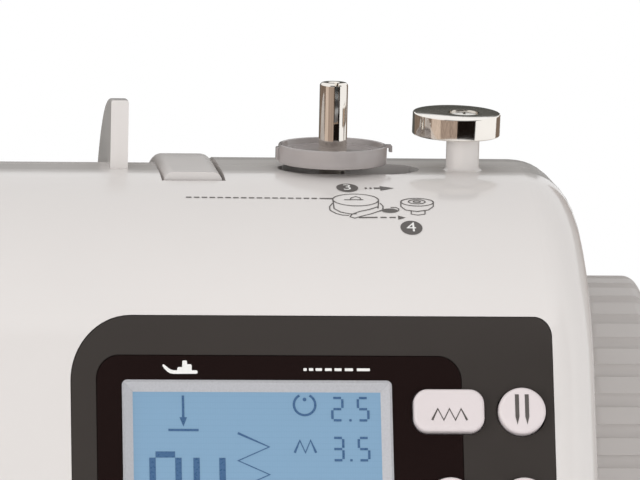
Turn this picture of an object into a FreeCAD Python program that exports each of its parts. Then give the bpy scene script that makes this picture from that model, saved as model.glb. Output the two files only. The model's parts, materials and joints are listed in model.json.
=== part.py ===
"""Household sewing machine with a display panel, bobbin winder and folding carry handle.

Millimetres. +Z is up, +X is the handwheel side, the operator sits at -Y.
The origin is at the middle of the footprint, on the surface the machine stands on.
"""
import FreeCAD
import Part

import math
import os

# Overall sizes
BODY_RIGHT = 191.6
BODY_LEFT = -170.0
COLUMN_WIDTH = 133.6
HEAD_WIDTH = 108.0
BED_TOP = 76.0
THROAT_HEIGHT = 120.0
ARM_HEIGHT = 86.0
HEAD_DROP = 34.0
THROAT_RADIUS = 18.0
FACE_COVER_WIDTH = 12.0

# Clearances and thicknesses used throughout
WALL = 2.5
SEAM_GAP = 0.3
SLIP = 0.3
RUNNING = 0.05
TINY = 1e-3

# Cross-section of the arm and column, from the crown over the front and the back
CROWN_RADIUS = 55.0
FACIA_TILT = 66.0
FACIA_LENGTH = 56.0
BROW_RADIUS = 120.0
CROWN_FLAT = 16.0
BACK_RADIUS = 60.0
END_RADIUS = 10.3
SEAM_BEHIND_CROWN = 8.4

# Levels and sides that the rest is placed from
COLUMN_LEFT = BODY_RIGHT - COLUMN_WIDTH
HEAD_RIGHT = BODY_LEFT + HEAD_WIDTH
ARM_UNDER = BED_TOP + THROAT_HEIGHT
HEAD_UNDER = ARM_UNDER - HEAD_DROP
BODY_TOP = ARM_UNDER + ARM_HEIGHT
FACE_SEAM_X = BODY_LEFT + FACE_COVER_WIDTH
NEEDLE_X_OFFSET = 55.0
NEEDLE_X = BODY_LEFT + NEEDLE_X_OFFSET
NEEDLE_Y = -6.0

# Base tray, feet and screws
FOOT_HEIGHT = 6.0
FOOT_RADIUS = 8.0
FOOT_INSET = 16.0
TRAY_THICK = 4.0
TRAY_TOP = FOOT_HEIGHT + TRAY_THICK
TRAY_SCREW_INSET = 8.0
SCREW_RADIUS = 2.0
SCREW_HEAD_RADIUS = 3.2
SCREW_HEAD_HEIGHT = 1.4
SCREW_TIP_COVER = 1.0

# Free arm, needle plate and extension table
FREE_ARM_FRONT = 46.0
FREE_ARM_BACK = 38.0
FREE_ARM_END_RADIUS = 12.0
PLATE_THICK = 2.2
PLATE_SEAT = 2.0
PLATE_HALF_WIDTH = 40.0
PLATE_FRONT = 17.0
PLATE_BACK = 34.0
LEDGE = 3.0
SIDE_LEDGE = 8.0
NEEDLE_HOLE_HALF = 4.0
NEEDLE_HOLE_RADIUS = 1.2
PLATE_SCREW_BEHIND = 10.0
PLATE_SCREW_LENGTH = 6.0
TABLE_GAP = 0.5
TABLE_LIFT = 1.0
TABLE_CORNER = 14.0

# Feed dog and the lever that drops it
FEED_RISE = 0.6
FEED_BAR_X = 6.0
FEED_BAR_HALF = 1.0
FEED_BAR_FRONT = 11.0
FEED_BAR_BACK = 15.0
FEED_CENTRE_FRONT = 6.0
FEED_SLOT_GAP = 0.5
FEED_MARGIN = 2.0
FEED_FRONT_MARGIN = 1.0
FEED_WINDOW_HALF = 4.0
FEED_WINDOW_FRONT = 8.0
FEED_WINDOW_BACK = 5.0
FEED_LEG_FRONT = 4.0
FEED_LEG_BACK = 3.0
FEED_BLOCK_FOOT_OFFSET = 9.5
FEED_BLOCK_FOOT = BED_TOP - FEED_BLOCK_FOOT_OFFSET
FEED_BLOCK_TOP_OFFSET = 6.0
FEED_BLOCK_TOP = BED_TOP - FEED_BLOCK_TOP_OFFSET
FEED_LEG_FOOT_OFFSET = 26.0
FEED_LEG_FOOT = BED_TOP - FEED_LEG_FOOT_OFFSET
DROP_LEVER_X_OFFSET = 29.0
DROP_LEVER_X = NEEDLE_X - DROP_LEVER_X_OFFSET
DROP_LEVER_WIDTH = 8.0
DROP_LEVER_STEP = 1.0
DROP_LEVER_Z0_OFFSET = 19.0
DROP_LEVER_Z0 = BED_TOP - DROP_LEVER_Z0_OFFSET
DROP_LEVER_Z1_OFFSET = 14.0
DROP_LEVER_Z1 = BED_TOP - DROP_LEVER_Z1_OFFSET
DROP_TRAVEL = 12.0

# Hook, bobbin holder and bobbin
HOOK_BEFORE_NEEDLE = 22.0
HOOK_RADIUS = 20.0
HOOK_WALL = 2.5
HOOK_FOOT_OFFSET = 32.0
HOOK_FOOT = BED_TOP - HOOK_FOOT_OFFSET
HOOK_TOP_OFFSET = 14.0
HOOK_TOP = BED_TOP - HOOK_TOP_OFFSET
HOOK_BOSS_TOP_OFFSET = 13.0
HOOK_BOSS_TOP = TRAY_TOP + HOOK_BOSS_TOP_OFFSET
HOOK_BOSS_RADIUS = 9.0
HOOK_SHAFT_RADIUS = 4.0
HOOK_GEAR_RADIUS = 10.0
HOOK_GEAR_FOOT_OFFSET = 14.0
HOOK_GEAR_FOOT = TRAY_TOP + HOOK_GEAR_FOOT_OFFSET
HOOK_GEAR_TOP_OFFSET = 26.0
HOOK_GEAR_TOP = TRAY_TOP + HOOK_GEAR_TOP_OFFSET
HOLDER_RADIUS = 17.0
HOLDER_GAP = 2.0
HOLDER_TOP_OFFSET = 13.0
HOLDER_TOP = BED_TOP - HOLDER_TOP_OFFSET
BOBBIN_RADIUS = 10.3
BOBBIN_HEIGHT = 11.0
BOBBIN_BORE = 3.0
BOBBIN_CORE = 4.5
BOBBIN_FLANGE = 1.2

# Main frame
BED_PLATE_LEFT_OFFSET = 20.0
BED_PLATE_LEFT = BODY_LEFT + BED_PLATE_LEFT_OFFSET
BED_PLATE_RIGHT_OFFSET = 41.6
BED_PLATE_RIGHT = BODY_RIGHT - BED_PLATE_RIGHT_OFFSET
BED_PLATE_FRONT_OFFSET = 28.0
BED_PLATE_FRONT = NEEDLE_Y - BED_PLATE_FRONT_OFFSET
BED_PLATE_BACK_OFFSET = 34.0
BED_PLATE_BACK = NEEDLE_Y + BED_PLATE_BACK_OFFSET
BED_PLATE_THICK = 6.0
BEAM_FOOT_OFFSET = 4.0
BEAM_FOOT = ARM_UNDER + BEAM_FOOT_OFFSET
BEAM_THICK = 8.0
BEAM_LEFT_OFFSET = 15.0
BEAM_LEFT = NEEDLE_X + BEAM_LEFT_OFFSET
BEAM_FRONT_OFFSET = 4.0
BEAM_FRONT = NEEDLE_Y + BEAM_FRONT_OFFSET
BEAM_BACK_OFFSET = 46.0
BEAM_BACK = NEEDLE_Y + BEAM_BACK_OFFSET
PILLAR_LEFT_OFFSET = 4.0
PILLAR_LEFT = COLUMN_LEFT + PILLAR_LEFT_OFFSET
PILLAR_THICK = 14.0
PILLAR_FRONT_OFFSET = 40.0
PILLAR_FRONT = NEEDLE_Y - PILLAR_FRONT_OFFSET
BEARING_HALF = 11.0
BEARING_RISE = 16.0
HEAD_BEARING_LEFT_OFFSET = 29.0
HEAD_BEARING_LEFT = NEEDLE_X + HEAD_BEARING_LEFT_OFFSET
HEAD_BEARING_WIDTH = 12.0
BUSH_WALL = 3.0
LOWER_BEARING_LEFT_OFFSET = 45.0
LOWER_BEARING_LEFT = NEEDLE_X + LOWER_BEARING_LEFT_OFFSET
LOWER_BEARING_WIDTH = 10.0
LOWER_BEARING_HALF = 9.0
HEAD_PLATE_LEFT_OFFSET = 25.0
HEAD_PLATE_LEFT = NEEDLE_X - HEAD_PLATE_LEFT_OFFSET
HEAD_PLATE_RIGHT_OFFSET = 17.0
HEAD_PLATE_RIGHT = NEEDLE_X + HEAD_PLATE_RIGHT_OFFSET
HEAD_PLATE_THICK = 8.0
HEAD_PLATE_BEHIND = 8.0
HEAD_PLATE_FOOT_OFFSET = 4.0
HEAD_PLATE_FOOT = HEAD_UNDER + HEAD_PLATE_FOOT_OFFSET
LEDGE_HALF = 13.0
LEDGE_FRONT = 10.0
LEDGE_THICK = 8.0
PIVOT_PIN_RADIUS = 3.0

# Shafts, pulleys, motor and handwheel
MAIN_SHAFT_Y_OFFSET = 14.0
MAIN_SHAFT_Y = NEEDLE_Y + MAIN_SHAFT_Y_OFFSET
MAIN_SHAFT_Z_OFFSET = 32.0
MAIN_SHAFT_Z = ARM_UNDER + MAIN_SHAFT_Z_OFFSET
MAIN_SHAFT_RADIUS = 6.0
HANDWHEEL_RADIUS = 31.0
HANDWHEEL_WIDTH = 14.4
HANDWHEEL_GAP = 1.0
HANDWHEEL_EDGE = 3.0
HANDWHEEL_GRIPS = 30
GRIP_GROOVE_RADIUS = 1.6
GRIP_GROOVE_OUT = 0.6
CRANK_RADIUS = 17.0
CRANK_RIGHT_OFFSET = 26.0
CRANK_RIGHT = NEEDLE_X + CRANK_RIGHT_OFFSET
CRANK_THICK = 6.0
CRANK_THROW = 13.0
CRANK_PIN_LENGTH = 1.4
LOWER_SHAFT_Z_OFFSET = 20.0
LOWER_SHAFT_Z = TRAY_TOP + LOWER_SHAFT_Z_OFFSET
LOWER_SHAFT_RADIUS = 4.0
LOWER_GEAR_RADIUS = 12.0
PULLEY_RADIUS = 16.0
PULLEY_LEFT_OFFSET = 33.6
PULLEY_LEFT = BODY_RIGHT - PULLEY_LEFT_OFFSET
PULLEY_WIDTH = 7.0
DRIVEN_PULLEY_RADIUS = 24.0
DRIVEN_LEFT_OFFSET = 20.6
DRIVEN_LEFT = BODY_RIGHT - DRIVEN_LEFT_OFFSET
MOTOR_Y_OFFSET = 50.0
MOTOR_Y = NEEDLE_Y + MOTOR_Y_OFFSET
MOTOR_Z_OFFSET = 44.0
MOTOR_Z = BED_TOP + MOTOR_Z_OFFSET
MOTOR_RADIUS = 24.0
MOTOR_LENGTH = 72.0
MOTOR_PULLEY_RADIUS = 8.0
BELT_THICK = 1.5

# Needle bar, take-up lever and tension dial
NEEDLE_BAR_RADIUS = 3.0
NEEDLE_BAR_TOP_OFFSET = 40.0
NEEDLE_BAR_TOP = MAIN_SHAFT_Z + NEEDLE_BAR_TOP_OFFSET
NEEDLE_BAR_FOOT_OFFSET = 51.0
NEEDLE_BAR_FOOT = BED_TOP + NEEDLE_BAR_FOOT_OFFSET
NEEDLE_POINT_ABOVE_BED = 13.0
NEEDLE_RADIUS = 0.5
NEEDLE_POINT_LENGTH = 4.0
CLAMP_RADIUS = 5.0
CLAMP_HEIGHT = 10.0
CLAMP_SCREW_RADIUS = 2.0
CLAMP_SCREW_LENGTH = 8.0
CLAMP_SCREW_SINK = 1.0
TAKE_UP_X_OFFSET = 15.5
TAKE_UP_X = NEEDLE_X + TAKE_UP_X_OFFSET
TAKE_UP_THICK = 2.0
TAKE_UP_LENGTH = 53.0
TAKE_UP_REST = 22.0
TAKE_UP_PIVOT_Y_OFFSET = 2.0
TAKE_UP_PIVOT_Y = NEEDLE_Y + TAKE_UP_PIVOT_Y_OFFSET
TAKE_UP_PIVOT_Z_OFFSET = 14.0
TAKE_UP_PIVOT_Z = MAIN_SHAFT_Z + TAKE_UP_PIVOT_Z_OFFSET
TAKE_UP_HUB_RADIUS = 5.0
TAKE_UP_HALF = 3.0
TAKE_UP_EYE = 1.2
TAKE_UP_SLOT = 7.0
TAKE_UP_SLOT_TOP_OFFSET = 14.0
TAKE_UP_SLOT_TOP = BODY_TOP - TAKE_UP_SLOT_TOP_OFFSET
TAKE_UP_SLOT_FOOT_OFFSET = 68.0
TAKE_UP_SLOT_FOOT = BODY_TOP - TAKE_UP_SLOT_FOOT_OFFSET
DIAL_RADIUS = 15.0
DIAL_WIDTH = 8.0
DIAL_LEFT_OFFSET = 39.0
DIAL_LEFT = NEEDLE_X + DIAL_LEFT_OFFSET
DIAL_PROUD = 2.5
DIAL_ANGLE = 40.0
DIAL_GROOVES = 24
DIAL_GROOVE_RADIUS = 0.7
DIAL_BRACKET_LEFT_OFFSET = 10.0
DIAL_BRACKET_LEFT = DIAL_LEFT + DIAL_BRACKET_LEFT_OFFSET
DIAL_BRACKET_THICK = 4.0
GUIDE_LENGTH = 8.0
GUIDE_LIP = 6.0
GUIDE_DEPTH = 6.0
GUIDE_HEIGHT = 6.0
GUIDE_THICK = 1.2
GUIDE_STEM = 1.6

# Presser bar, foot and lifter
PRESSER_BEHIND = 14.0
PRESSER_BAR_RADIUS = 3.25
PRESSER_BAR_TOP_OFFSET = 28.0
PRESSER_BAR_TOP = MAIN_SHAFT_Z + PRESSER_BAR_TOP_OFFSET
PRESSER_LIFT = 6.0
SHANK_HALF_X = 3.0
SHANK_HALF_Y = 4.0
SHANK_TOP_RISE = 30.0
FOOT_REST_GAP = 1.0
FOOT_HALF_WIDTH = 9.0
FOOT_FRONT = 13.0
FOOT_BACK = 5.0
FOOT_SOLE = 2.0
FOOT_PIVOT_RISE = 8.0
FOOT_PIN_RADIUS = 1.5
FOOT_LUG_THICK = 2.0
FOOT_SLOT_HALF = 4.0
FOOT_SPLIT_HALF = 1.0
LIFTER_Z_OFFSET = 10.0
LIFTER_Z = HEAD_UNDER - LIFTER_Z_OFFSET
LIFTER_HALF = 6.0
LIFTER_PIN_RADIUS = 3.0
LIFTER_PIN_LENGTH = 12.0
LIFTER_WIDTH = 8.0
LIFTER_LENGTH = 34.0
LIFTER_HUB_RADIUS = 6.5
LIFTER_REST = 5.0

# Bobbin winder and stopper
WINDER_X_OFFSET = 50.6
WINDER_X = BODY_RIGHT - WINDER_X_OFFSET
WINDER_BEHIND_CROWN = 4.0
SPINDLE_RADIUS = 3.0
SPINDLE_STEP = 0.2
SPINDLE_EDGE = 0.8
SPINDLE_RISE = 18.4
SPINDLE_SINK = 36.0
DISH_RADIUS = 11.5
DISH_FOOT = 1.2
DISH_TOP = 5.2
DISH_RECESS = 1.0
DISH_RIM = 1.5
DISH_TAB = 0.6
DISH_TAB_HALF = 1.2
WINDER_SLOT_WIDTH = 15.0
WINDER_SLOT_LEFT_OFFSET = 11.6
WINDER_SLOT_LEFT = WINDER_X - WINDER_SLOT_LEFT_OFFSET
WINDER_SLOT_RIGHT_OFFSET = 18.4
WINDER_SLOT_RIGHT = WINDER_X + WINDER_SLOT_RIGHT_OFFSET
WINDER_SWING_RADIUS = 28.0
WINDER_PLATE_SINK = 22.0
WINDER_PLATE_THICK = 5.0
WINDER_POST_RADIUS = 5.0
WINDER_ARM_HALF = 6.0
WINDER_TYRE_RADIUS = 12.0
TYRE_TOP_SINK = 27.0
TYRE_HEIGHT = 6.0
TYRE_EDGE = 1.5
STOPPER_X_OFFSET = 27.7
STOPPER_X = WINDER_X + STOPPER_X_OFFSET
STOPPER_POST_RADIUS = 3.5
STOPPER_POST_FLARE = 0.9
STOPPER_RADIUS = 9.3
STOPPER_OFFSET = 1.5
STOPPER_FOOT = 6.9
STOPPER_THICK = 5.3
STOPPER_EDGE = 0.6
STOPPER_RECESS_DEPTH = 1.2
STOPPER_STEP = 0.5
CROSS_REACH = 1.8
CROSS_HALF = 0.35

# Carry handle; the angles run down the back curve from the top
HANDLE_RIGHT_OFFSET = 81.1
HANDLE_RIGHT = BODY_RIGHT - HANDLE_RIGHT_OFFSET
HANDLE_LEFT_OFFSET = 125.0
HANDLE_LEFT = BODY_LEFT + HANDLE_LEFT_OFFSET
HANDLE_WIDTH = 12.2
HANDLE_PROUD = 0.75
HANDLE_THICK = 7.0
HANDLE_LIP = 8.0
HANDLE_PIVOT_BEHIND = 0.0
HANDLE_PIVOT_DEPTH = 5.0
HANDLE_EDGE_RADIUS = 2.0
HANDLE_GAP = 0.6
HANDLE_STUB_RADIUS = 3.0
GRIP_START = 50.0
GRIP_END = 72.0
FINGER_SLOT_END = 86.0

# Spool well, plate, pin and cap
WELL_LEFT_OFFSET = 12.0
WELL_LEFT = HANDLE_LEFT + WELL_LEFT_OFFSET
WELL_RIGHT_OFFSET = 6.7
WELL_RIGHT = HANDLE_RIGHT - WELL_RIGHT_OFFSET
WELL_FRONT = 11.2
WELL_BACK = 54.0
WELL_DEPTH = 34.0
SPOOL_PLATE_LEFT_OFFSET = 10.0
SPOOL_PLATE_LEFT = WELL_RIGHT - SPOOL_PLATE_LEFT_OFFSET
SPOOL_PLATE_THICK = 3.7
SPOOL_PLATE_FRONT = 1.9
SPOOL_PLATE_RADIUS = 45.0
SPOOL_PLATE_SINK = 30.55
SPOOL_PLATE_NOSE = 0.5
SPOOL_PLATE_EDGE = 0.5
SPOOL_PIN_BEHIND = 28.0
SPOOL_PIN_SINK = 15.0
SPOOL_PIN_RADIUS = 2.5
SPOOL_PIN_TIP_OFFSET = 49.0
SPOOL_PIN_TIP = WELL_LEFT + SPOOL_PIN_TIP_OFFSET
SPOOL_CAP_RADIUS = 11.0
SPOOL_HUB_GAP = 1.0
LUG_THICK = 2.0
LUG_HALF = 5.0
HINGE_PIN_RADIUS = 1.5
HINGE_HUB_RADIUS = 4.0
CAP_LEFT_OFFSET = 6.0
CAP_LEFT = SPOOL_PIN_TIP + CAP_LEFT_OFFSET
CAP_THICK = 4.0
CAP_HUB_RADIUS = 5.0
CAP_HUB_LENGTH = 6.0

# Control panel, measured down from the body top
PANEL_LEFT_OFFSET = 109.1
PANEL_LEFT = BODY_RIGHT - PANEL_LEFT_OFFSET
PANEL_RIGHT_OFFSET = 10.0
PANEL_RIGHT = BODY_RIGHT - PANEL_RIGHT_OFFSET
PANEL_TOP = 23.7
PANEL_BOTTOM = 112.0
PANEL_CORNER_LEFT = 12.7
PANEL_CORNER_RIGHT = 3.6
PANEL_THICK = 1.1
WINDOW_LEFT_OFFSET = 5.2
WINDOW_LEFT = PANEL_LEFT + WINDOW_LEFT_OFFSET
WINDOW_RIGHT_OFFSET = 19.0
WINDOW_RIGHT = PANEL_RIGHT - WINDOW_RIGHT_OFFSET
WINDOW_TOP = 31.2
WINDOW_BOTTOM = 78.0
WINDOW_CORNER = 4.8
WINDOW_THICK = 0.6
LCD_LEFT_OFFSET = 5.1
LCD_LEFT = WINDOW_LEFT + LCD_LEFT_OFFSET
LCD_RIGHT_OFFSET = 14.3
LCD_RIGHT = WINDOW_RIGHT - LCD_RIGHT_OFFSET
LCD_TOP = 35.9
LCD_SLOPE_HEIGHT = 40.0
LCD_BEVEL = 2.25
LCD_LIP = 0.5
LCD_SINK = 0.9
LCD_THICK = 4.0

# Keys and speed slider; slopes are distances down the flat facia
KEY_PROUD = 1.8
KEY_FLANGE = 1.2
WIDE_KEY_X_OFFSET = 31.8
WIDE_KEY_X = BODY_RIGHT - WIDE_KEY_X_OFFSET
WIDE_KEY_WIDTH = 14.6
WIDE_KEY_HEIGHT = 9.0
ROUND_KEY_X_OFFSET = 16.7
ROUND_KEY_X = BODY_RIGHT - ROUND_KEY_X_OFFSET
ROUND_KEY_RADIUS = 4.9
TOP_KEY_SLOPE = 10.1
LOWER_KEY_SLOPE = 29.0
HEAD_KEY_SLOPE = 44.0
HEAD_KEY_RADIUS = 5.5
START_KEY_X_OFFSET = 31.0
START_KEY_X = NEEDLE_X - START_KEY_X_OFFSET
START_KEY_RADIUS = 7.5
REVERSE_KEY_X_OFFSET = 7.0
REVERSE_KEY_X = NEEDLE_X - REVERSE_KEY_X_OFFSET
NEEDLE_KEY_X_OFFSET = 35.0
NEEDLE_KEY_X = NEEDLE_X + NEEDLE_KEY_X_OFFSET
SLIDER_LEFT_OFFSET = 69.0
SLIDER_LEFT = NEEDLE_X + SLIDER_LEFT_OFFSET
SLIDER_TRAVEL = 26.0
SLIDER_WIDTH = 8.0
SLIDER_SLOT_HEIGHT = 4.0
SLIDER_STEM = 5.0
SLIDER_KNOB_HEIGHT = 9.0
SLIDER_KNOB_PROUD = 3.0
SLIDER_CORNER = 1.5

# Power switch and inlet on the right side
SWITCH_Y0_OFFSET = 21.0
SWITCH_Y0 = NEEDLE_Y - SWITCH_Y0_OFFSET
SWITCH_Y1_OFFSET = 6.0
SWITCH_Y1 = NEEDLE_Y - SWITCH_Y1_OFFSET
SWITCH_Z_OFFSET = 8.0
SWITCH_Z = BED_TOP + SWITCH_Z_OFFSET
SWITCH_HALF_HEIGHT = 9.3
SWITCH_GAP = 1.0
SWITCH_THROW = 8.0
SWITCH_DEPTH = 6.0
SWITCH_NOSE = 1.5
SWITCH_EDGE = 0.5
SWITCH_ROUND = 3.0
SWITCH_AXLE_RADIUS = 2.0
SWITCH_CHEEK = 2.0
SWITCH_CHEEK_RISE = 5.0
INLET_Y0_OFFSET = 24.0
INLET_Y0 = NEEDLE_Y - INLET_Y0_OFFSET
INLET_Y1_OFFSET = 3.0
INLET_Y1 = NEEDLE_Y - INLET_Y1_OFFSET
INLET_Z0_OFFSET = 38.0
INLET_Z0 = BED_TOP - INLET_Z0_OFFSET
INLET_Z1_OFFSET = 18.0
INLET_Z1 = BED_TOP - INLET_Z1_OFFSET
INLET_DEPTH = 22.0
INLET_PIN_RADIUS = 1.2
INLET_PIN_PITCH = 8.6
INLET_PIN_SINK = 4.0
INLET_RIB = 0.2
INLET_FLANGE = 2.0
INLET_FLANGE_THICK = 1.0
SOCKET_DEPTH = 14.0

# Other openings, main board and lamp
HEAD_OPENING_LEFT_OFFSET = 40.0
HEAD_OPENING_LEFT = NEEDLE_X - HEAD_OPENING_LEFT_OFFSET
HEAD_OPENING_RIGHT_OFFSET = 35.0
HEAD_OPENING_RIGHT = NEEDLE_X + HEAD_OPENING_RIGHT_OFFSET
HEAD_OPENING_FRONT_OFFSET = 24.0
HEAD_OPENING_FRONT = NEEDLE_Y - HEAD_OPENING_FRONT_OFFSET
HEAD_OPENING_BACK_OFFSET = 48.0
HEAD_OPENING_BACK = NEEDLE_Y + HEAD_OPENING_BACK_OFFSET
VENT_COUNT = 7
VENT_PITCH = 9.0
VENT_WIDTH = 3.0
VENT_LEFT_OFFSET = 38.0
VENT_LEFT = COLUMN_LEFT + VENT_LEFT_OFFSET
VENT_FOOT_OFFSET = 44.0
VENT_FOOT = BED_TOP + VENT_FOOT_OFFSET
VENT_TOP_OFFSET = 84.0
VENT_TOP = BED_TOP + VENT_TOP_OFFSET
BOARD_THICK = 1.6
BOARD_FOOT_OFFSET = 14.0
BOARD_FOOT = BED_TOP + BOARD_FOOT_OFFSET
BOARD_TOP_OFFSET = 10.0
BOARD_TOP = ARM_UNDER - BOARD_TOP_OFFSET
BOARD_RIGHT_OFFSET = 21.6
BOARD_RIGHT = BODY_RIGHT - BOARD_RIGHT_OFFSET
LAMP_LEFT = HEAD_RIGHT + THROAT_RADIUS + 2 * WALL
LAMP_WIDTH = 22.0
LAMP_FRONT_OFFSET = 28.0
LAMP_FRONT = NEEDLE_Y - LAMP_FRONT_OFFSET
LAMP_DEPTH = 18.0
LAMP_DROP = 2.2
LAMP_CORNER = 3.0

X_AXIS = FreeCAD.Vector(1, 0, 0)
Y_AXIS = FreeCAD.Vector(0, 1, 0)
Z_AXIS = FreeCAD.Vector(0, 0, 1)

# Values worked out from the sizes above
TILT = math.radians(FACIA_TILT)
FRONT_REACH = (
    CROWN_RADIUS * math.sin(TILT)
    + FACIA_LENGTH * math.cos(TILT)
    + BROW_RADIUS * (1 - math.sin(TILT))
)
BACK_REACH = CROWN_FLAT + BACK_RADIUS
CROWN_Y = (FRONT_REACH - BACK_REACH) / 2
HALF_DEPTH = (FRONT_REACH + BACK_REACH) / 2
SEAM_Y = CROWN_Y + SEAM_BEHIND_CROWN
FACIA_TOP_Y = CROWN_Y - CROWN_RADIUS * math.sin(TILT)
FACIA_TOP_Z = BODY_TOP - CROWN_RADIUS * (1 - math.cos(TILT))
BROW_Y = FACIA_TOP_Y - FACIA_LENGTH * math.cos(TILT) + BROW_RADIUS * math.sin(TILT)
BROW_Z = FACIA_TOP_Z - FACIA_LENGTH * math.sin(TILT) - BROW_RADIUS * math.cos(TILT)
BACK_Y = CROWN_Y + CROWN_FLAT
BACK_Z = BODY_TOP - BACK_RADIUS
TABLE_LEFT = -(BODY_RIGHT + HANDWHEEL_GAP + HANDWHEEL_WIDTH)
FREE_ARM_Y0 = NEEDLE_Y - FREE_ARM_FRONT
FREE_ARM_Y1 = NEEDLE_Y + FREE_ARM_BACK
ARM_TOP_THICK = PLATE_THICK + PLATE_SEAT
PLATE_Y0 = NEEDLE_Y - PLATE_FRONT
PLATE_Y1 = NEEDLE_Y + PLATE_BACK
COVER_Y0 = FREE_ARM_Y0 + WALL + SLIP
PLATE_SCREW_X = PLATE_HALF_WIDTH - SIDE_LEDGE / 2
BED_PLATE_TOP = TRAY_TOP + BED_PLATE_THICK
BEAM_TOP = BEAM_FOOT + BEAM_THICK
PILLAR_RIGHT = PILLAR_LEFT + PILLAR_THICK
BEARING_TOP = MAIN_SHAFT_Z + BEARING_RISE
HOOK_Y = NEEDLE_Y - HOOK_BEFORE_NEEDLE
LOWER_SHAFT_Y = HOOK_Y + HOOK_GEAR_RADIUS + LOWER_GEAR_RADIUS + SLIP
PRESSER_Y = NEEDLE_Y + PRESSER_BEHIND
HEAD_PLATE_Y0 = PRESSER_Y + HEAD_PLATE_BEHIND
HEAD_PLATE_Y1 = HEAD_PLATE_Y0 + HEAD_PLATE_THICK
HEAD_PLATE_TOP = TAKE_UP_PIVOT_Z + LEDGE_THICK
UPPER_LEDGE_FOOT = TAKE_UP_PIVOT_Z - LEDGE_THICK / 4
WINDER_Y = CROWN_Y + WINDER_BEHIND_CROWN
WINDER_PIVOT_Y = WINDER_Y - WINDER_SWING_RADIUS
PIVOT_Y = CROWN_Y + HANDLE_PIVOT_BEHIND
PIVOT_Z = BODY_TOP - HANDLE_PIVOT_DEPTH
LIP_Y = CROWN_Y - HANDLE_LIP
LIP_SWING = math.hypot(PIVOT_Y - LIP_Y, HANDLE_PIVOT_DEPTH + HANDLE_PROUD)
LCD_X = (LCD_LEFT + LCD_RIGHT) / 2
LCD_WIDTH = LCD_RIGHT - LCD_LEFT
LCD_SLOPE = (LCD_TOP - BODY_TOP + FACIA_TOP_Z) / math.sin(TILT) + LCD_SLOPE_HEIGHT / 2
KEY_REACH = WALL + SLIP + KEY_FLANGE
SLIDER_X = SLIDER_LEFT + SLIDER_TRAVEL / 2
SWITCH_X = BODY_RIGHT - SWITCH_DEPTH
DIAL_CENTRE_Y = CROWN_Y - (CROWN_RADIUS - DIAL_RADIUS + DIAL_PROUD) * math.sin(math.radians(DIAL_ANGLE))
DIAL_CENTRE_Z = (
    BODY_TOP - CROWN_RADIUS
    + (CROWN_RADIUS - DIAL_RADIUS + DIAL_PROUD) * math.cos(math.radians(DIAL_ANGLE))
)
DIAL_CENTRE = FreeCAD.Vector(0, DIAL_CENTRE_Y, DIAL_CENTRE_Z)
DIAL_BRACKET_TOP = DIAL_CENTRE_Z + 1.5 * PIVOT_PIN_RADIUS


def vec(x, y, z):
    return FreeCAD.Vector(x, y, z)


def block(x0, x1, y0, y1, z0, z1):
    """A box between two corners."""
    return Part.makeBox(x1 - x0, y1 - y0, z1 - z0, vec(x0, y0, z0))


def rod(radius, length, start, axis=Z_AXIS):
    return Part.makeCylinder(radius, length, start, axis)


def tube(outer, inner, length, start, axis=Z_AXIS):
    return rod(outer, length, start, axis).cut(rod(inner, length, start, axis))


def fuse(shapes):
    """One solid from touching or overlapping shapes."""
    return shapes[0].fuse(shapes[1:]).removeSplitter()


def slot(radius, start, end, height):
    """An upright obround between two axes."""
    reach = end - start
    middle = Part.makeBox(reach.Length, 2 * radius, height, vec(0, -radius, 0))
    turn = math.degrees(math.atan2(reach.y, reach.x))
    middle.Placement = FreeCAD.Placement(start, FreeCAD.Rotation(Z_AXIS, turn))
    return fuse([middle, rod(radius, height, start), rod(radius, height, end)])


def rounded_face(points, radii):
    """A flat face whose corners are rounded by tangent arcs; a radius of 0 leaves a corner sharp."""
    count = len(points)
    starts = []
    ends = []
    middles = []
    for i, corner in enumerate(points):
        before = (points[i - 1] - corner).normalize()
        after = (points[(i + 1) % count] - corner).normalize()
        half = before.getAngle(after) / 2
        starts.append(corner + before * (radii[i] / math.tan(half)))
        ends.append(corner + after * (radii[i] / math.tan(half)))
        centre = corner + (before + after).normalize() * (radii[i] / math.sin(half))
        middles.append(centre + (corner - centre).normalize() * radii[i] if radii[i] else corner)
    edges = []
    for i in range(count):
        if radii[i]:
            edges.append(Part.Arc(starts[i], middles[i], ends[i]).toShape())
        edges.append(Part.LineSegment(ends[i], starts[(i + 1) % count]).toShape())
    return Part.Face(Part.Wire(edges))


def front_prism(x0, x1, z0, z1, radii):
    """A rounded rectangle seen from the front, running from the footprint's front edge to the crown."""
    y = -HALF_DEPTH - WALL
    corners = [vec(x0, y, z0), vec(x1, y, z0), vec(x1, y, z1), vec(x0, y, z1)]
    return rounded_face(corners, radii).extrude(vec(0, CROWN_Y - y, 0))


def pad(width, height, radius, low, high):
    """A rounded rectangle about the local origin, between two levels."""
    x = width / 2
    y = height / 2
    corners = [vec(-x, -y, low), vec(x, -y, low), vec(x, y, low), vec(-x, y, low)]
    return rounded_face(corners, [radius] * 4).extrude(vec(0, 0, high - low))


def on_facia(shape, x, slope):
    """Puts a shape made about the local origin on the flat facia, its Z along the facia's outward normal."""
    y = FACIA_TOP_Y - slope * math.cos(TILT)
    z = FACIA_TOP_Z - slope * math.sin(TILT)
    placed = shape.copy()
    placed.Placement = FreeCAD.Placement(vec(x, y, z), FreeCAD.Rotation(X_AXIS, FACIA_TILT))
    return placed


def polar(centre_y, centre_z, radius, degrees):
    """A point of the YZ plane; 0 degrees is up and positive angles lean to the back."""
    angle = math.radians(degrees)
    return vec(0, centre_y + radius * math.sin(angle), centre_z + radius * math.cos(angle))


def arc(centre_y, centre_z, radius, start, end):
    middle = (start + end) / 2
    points = [polar(centre_y, centre_z, radius, a) for a in (start, middle, end)]
    return Part.Arc(*points).toShape()


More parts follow.
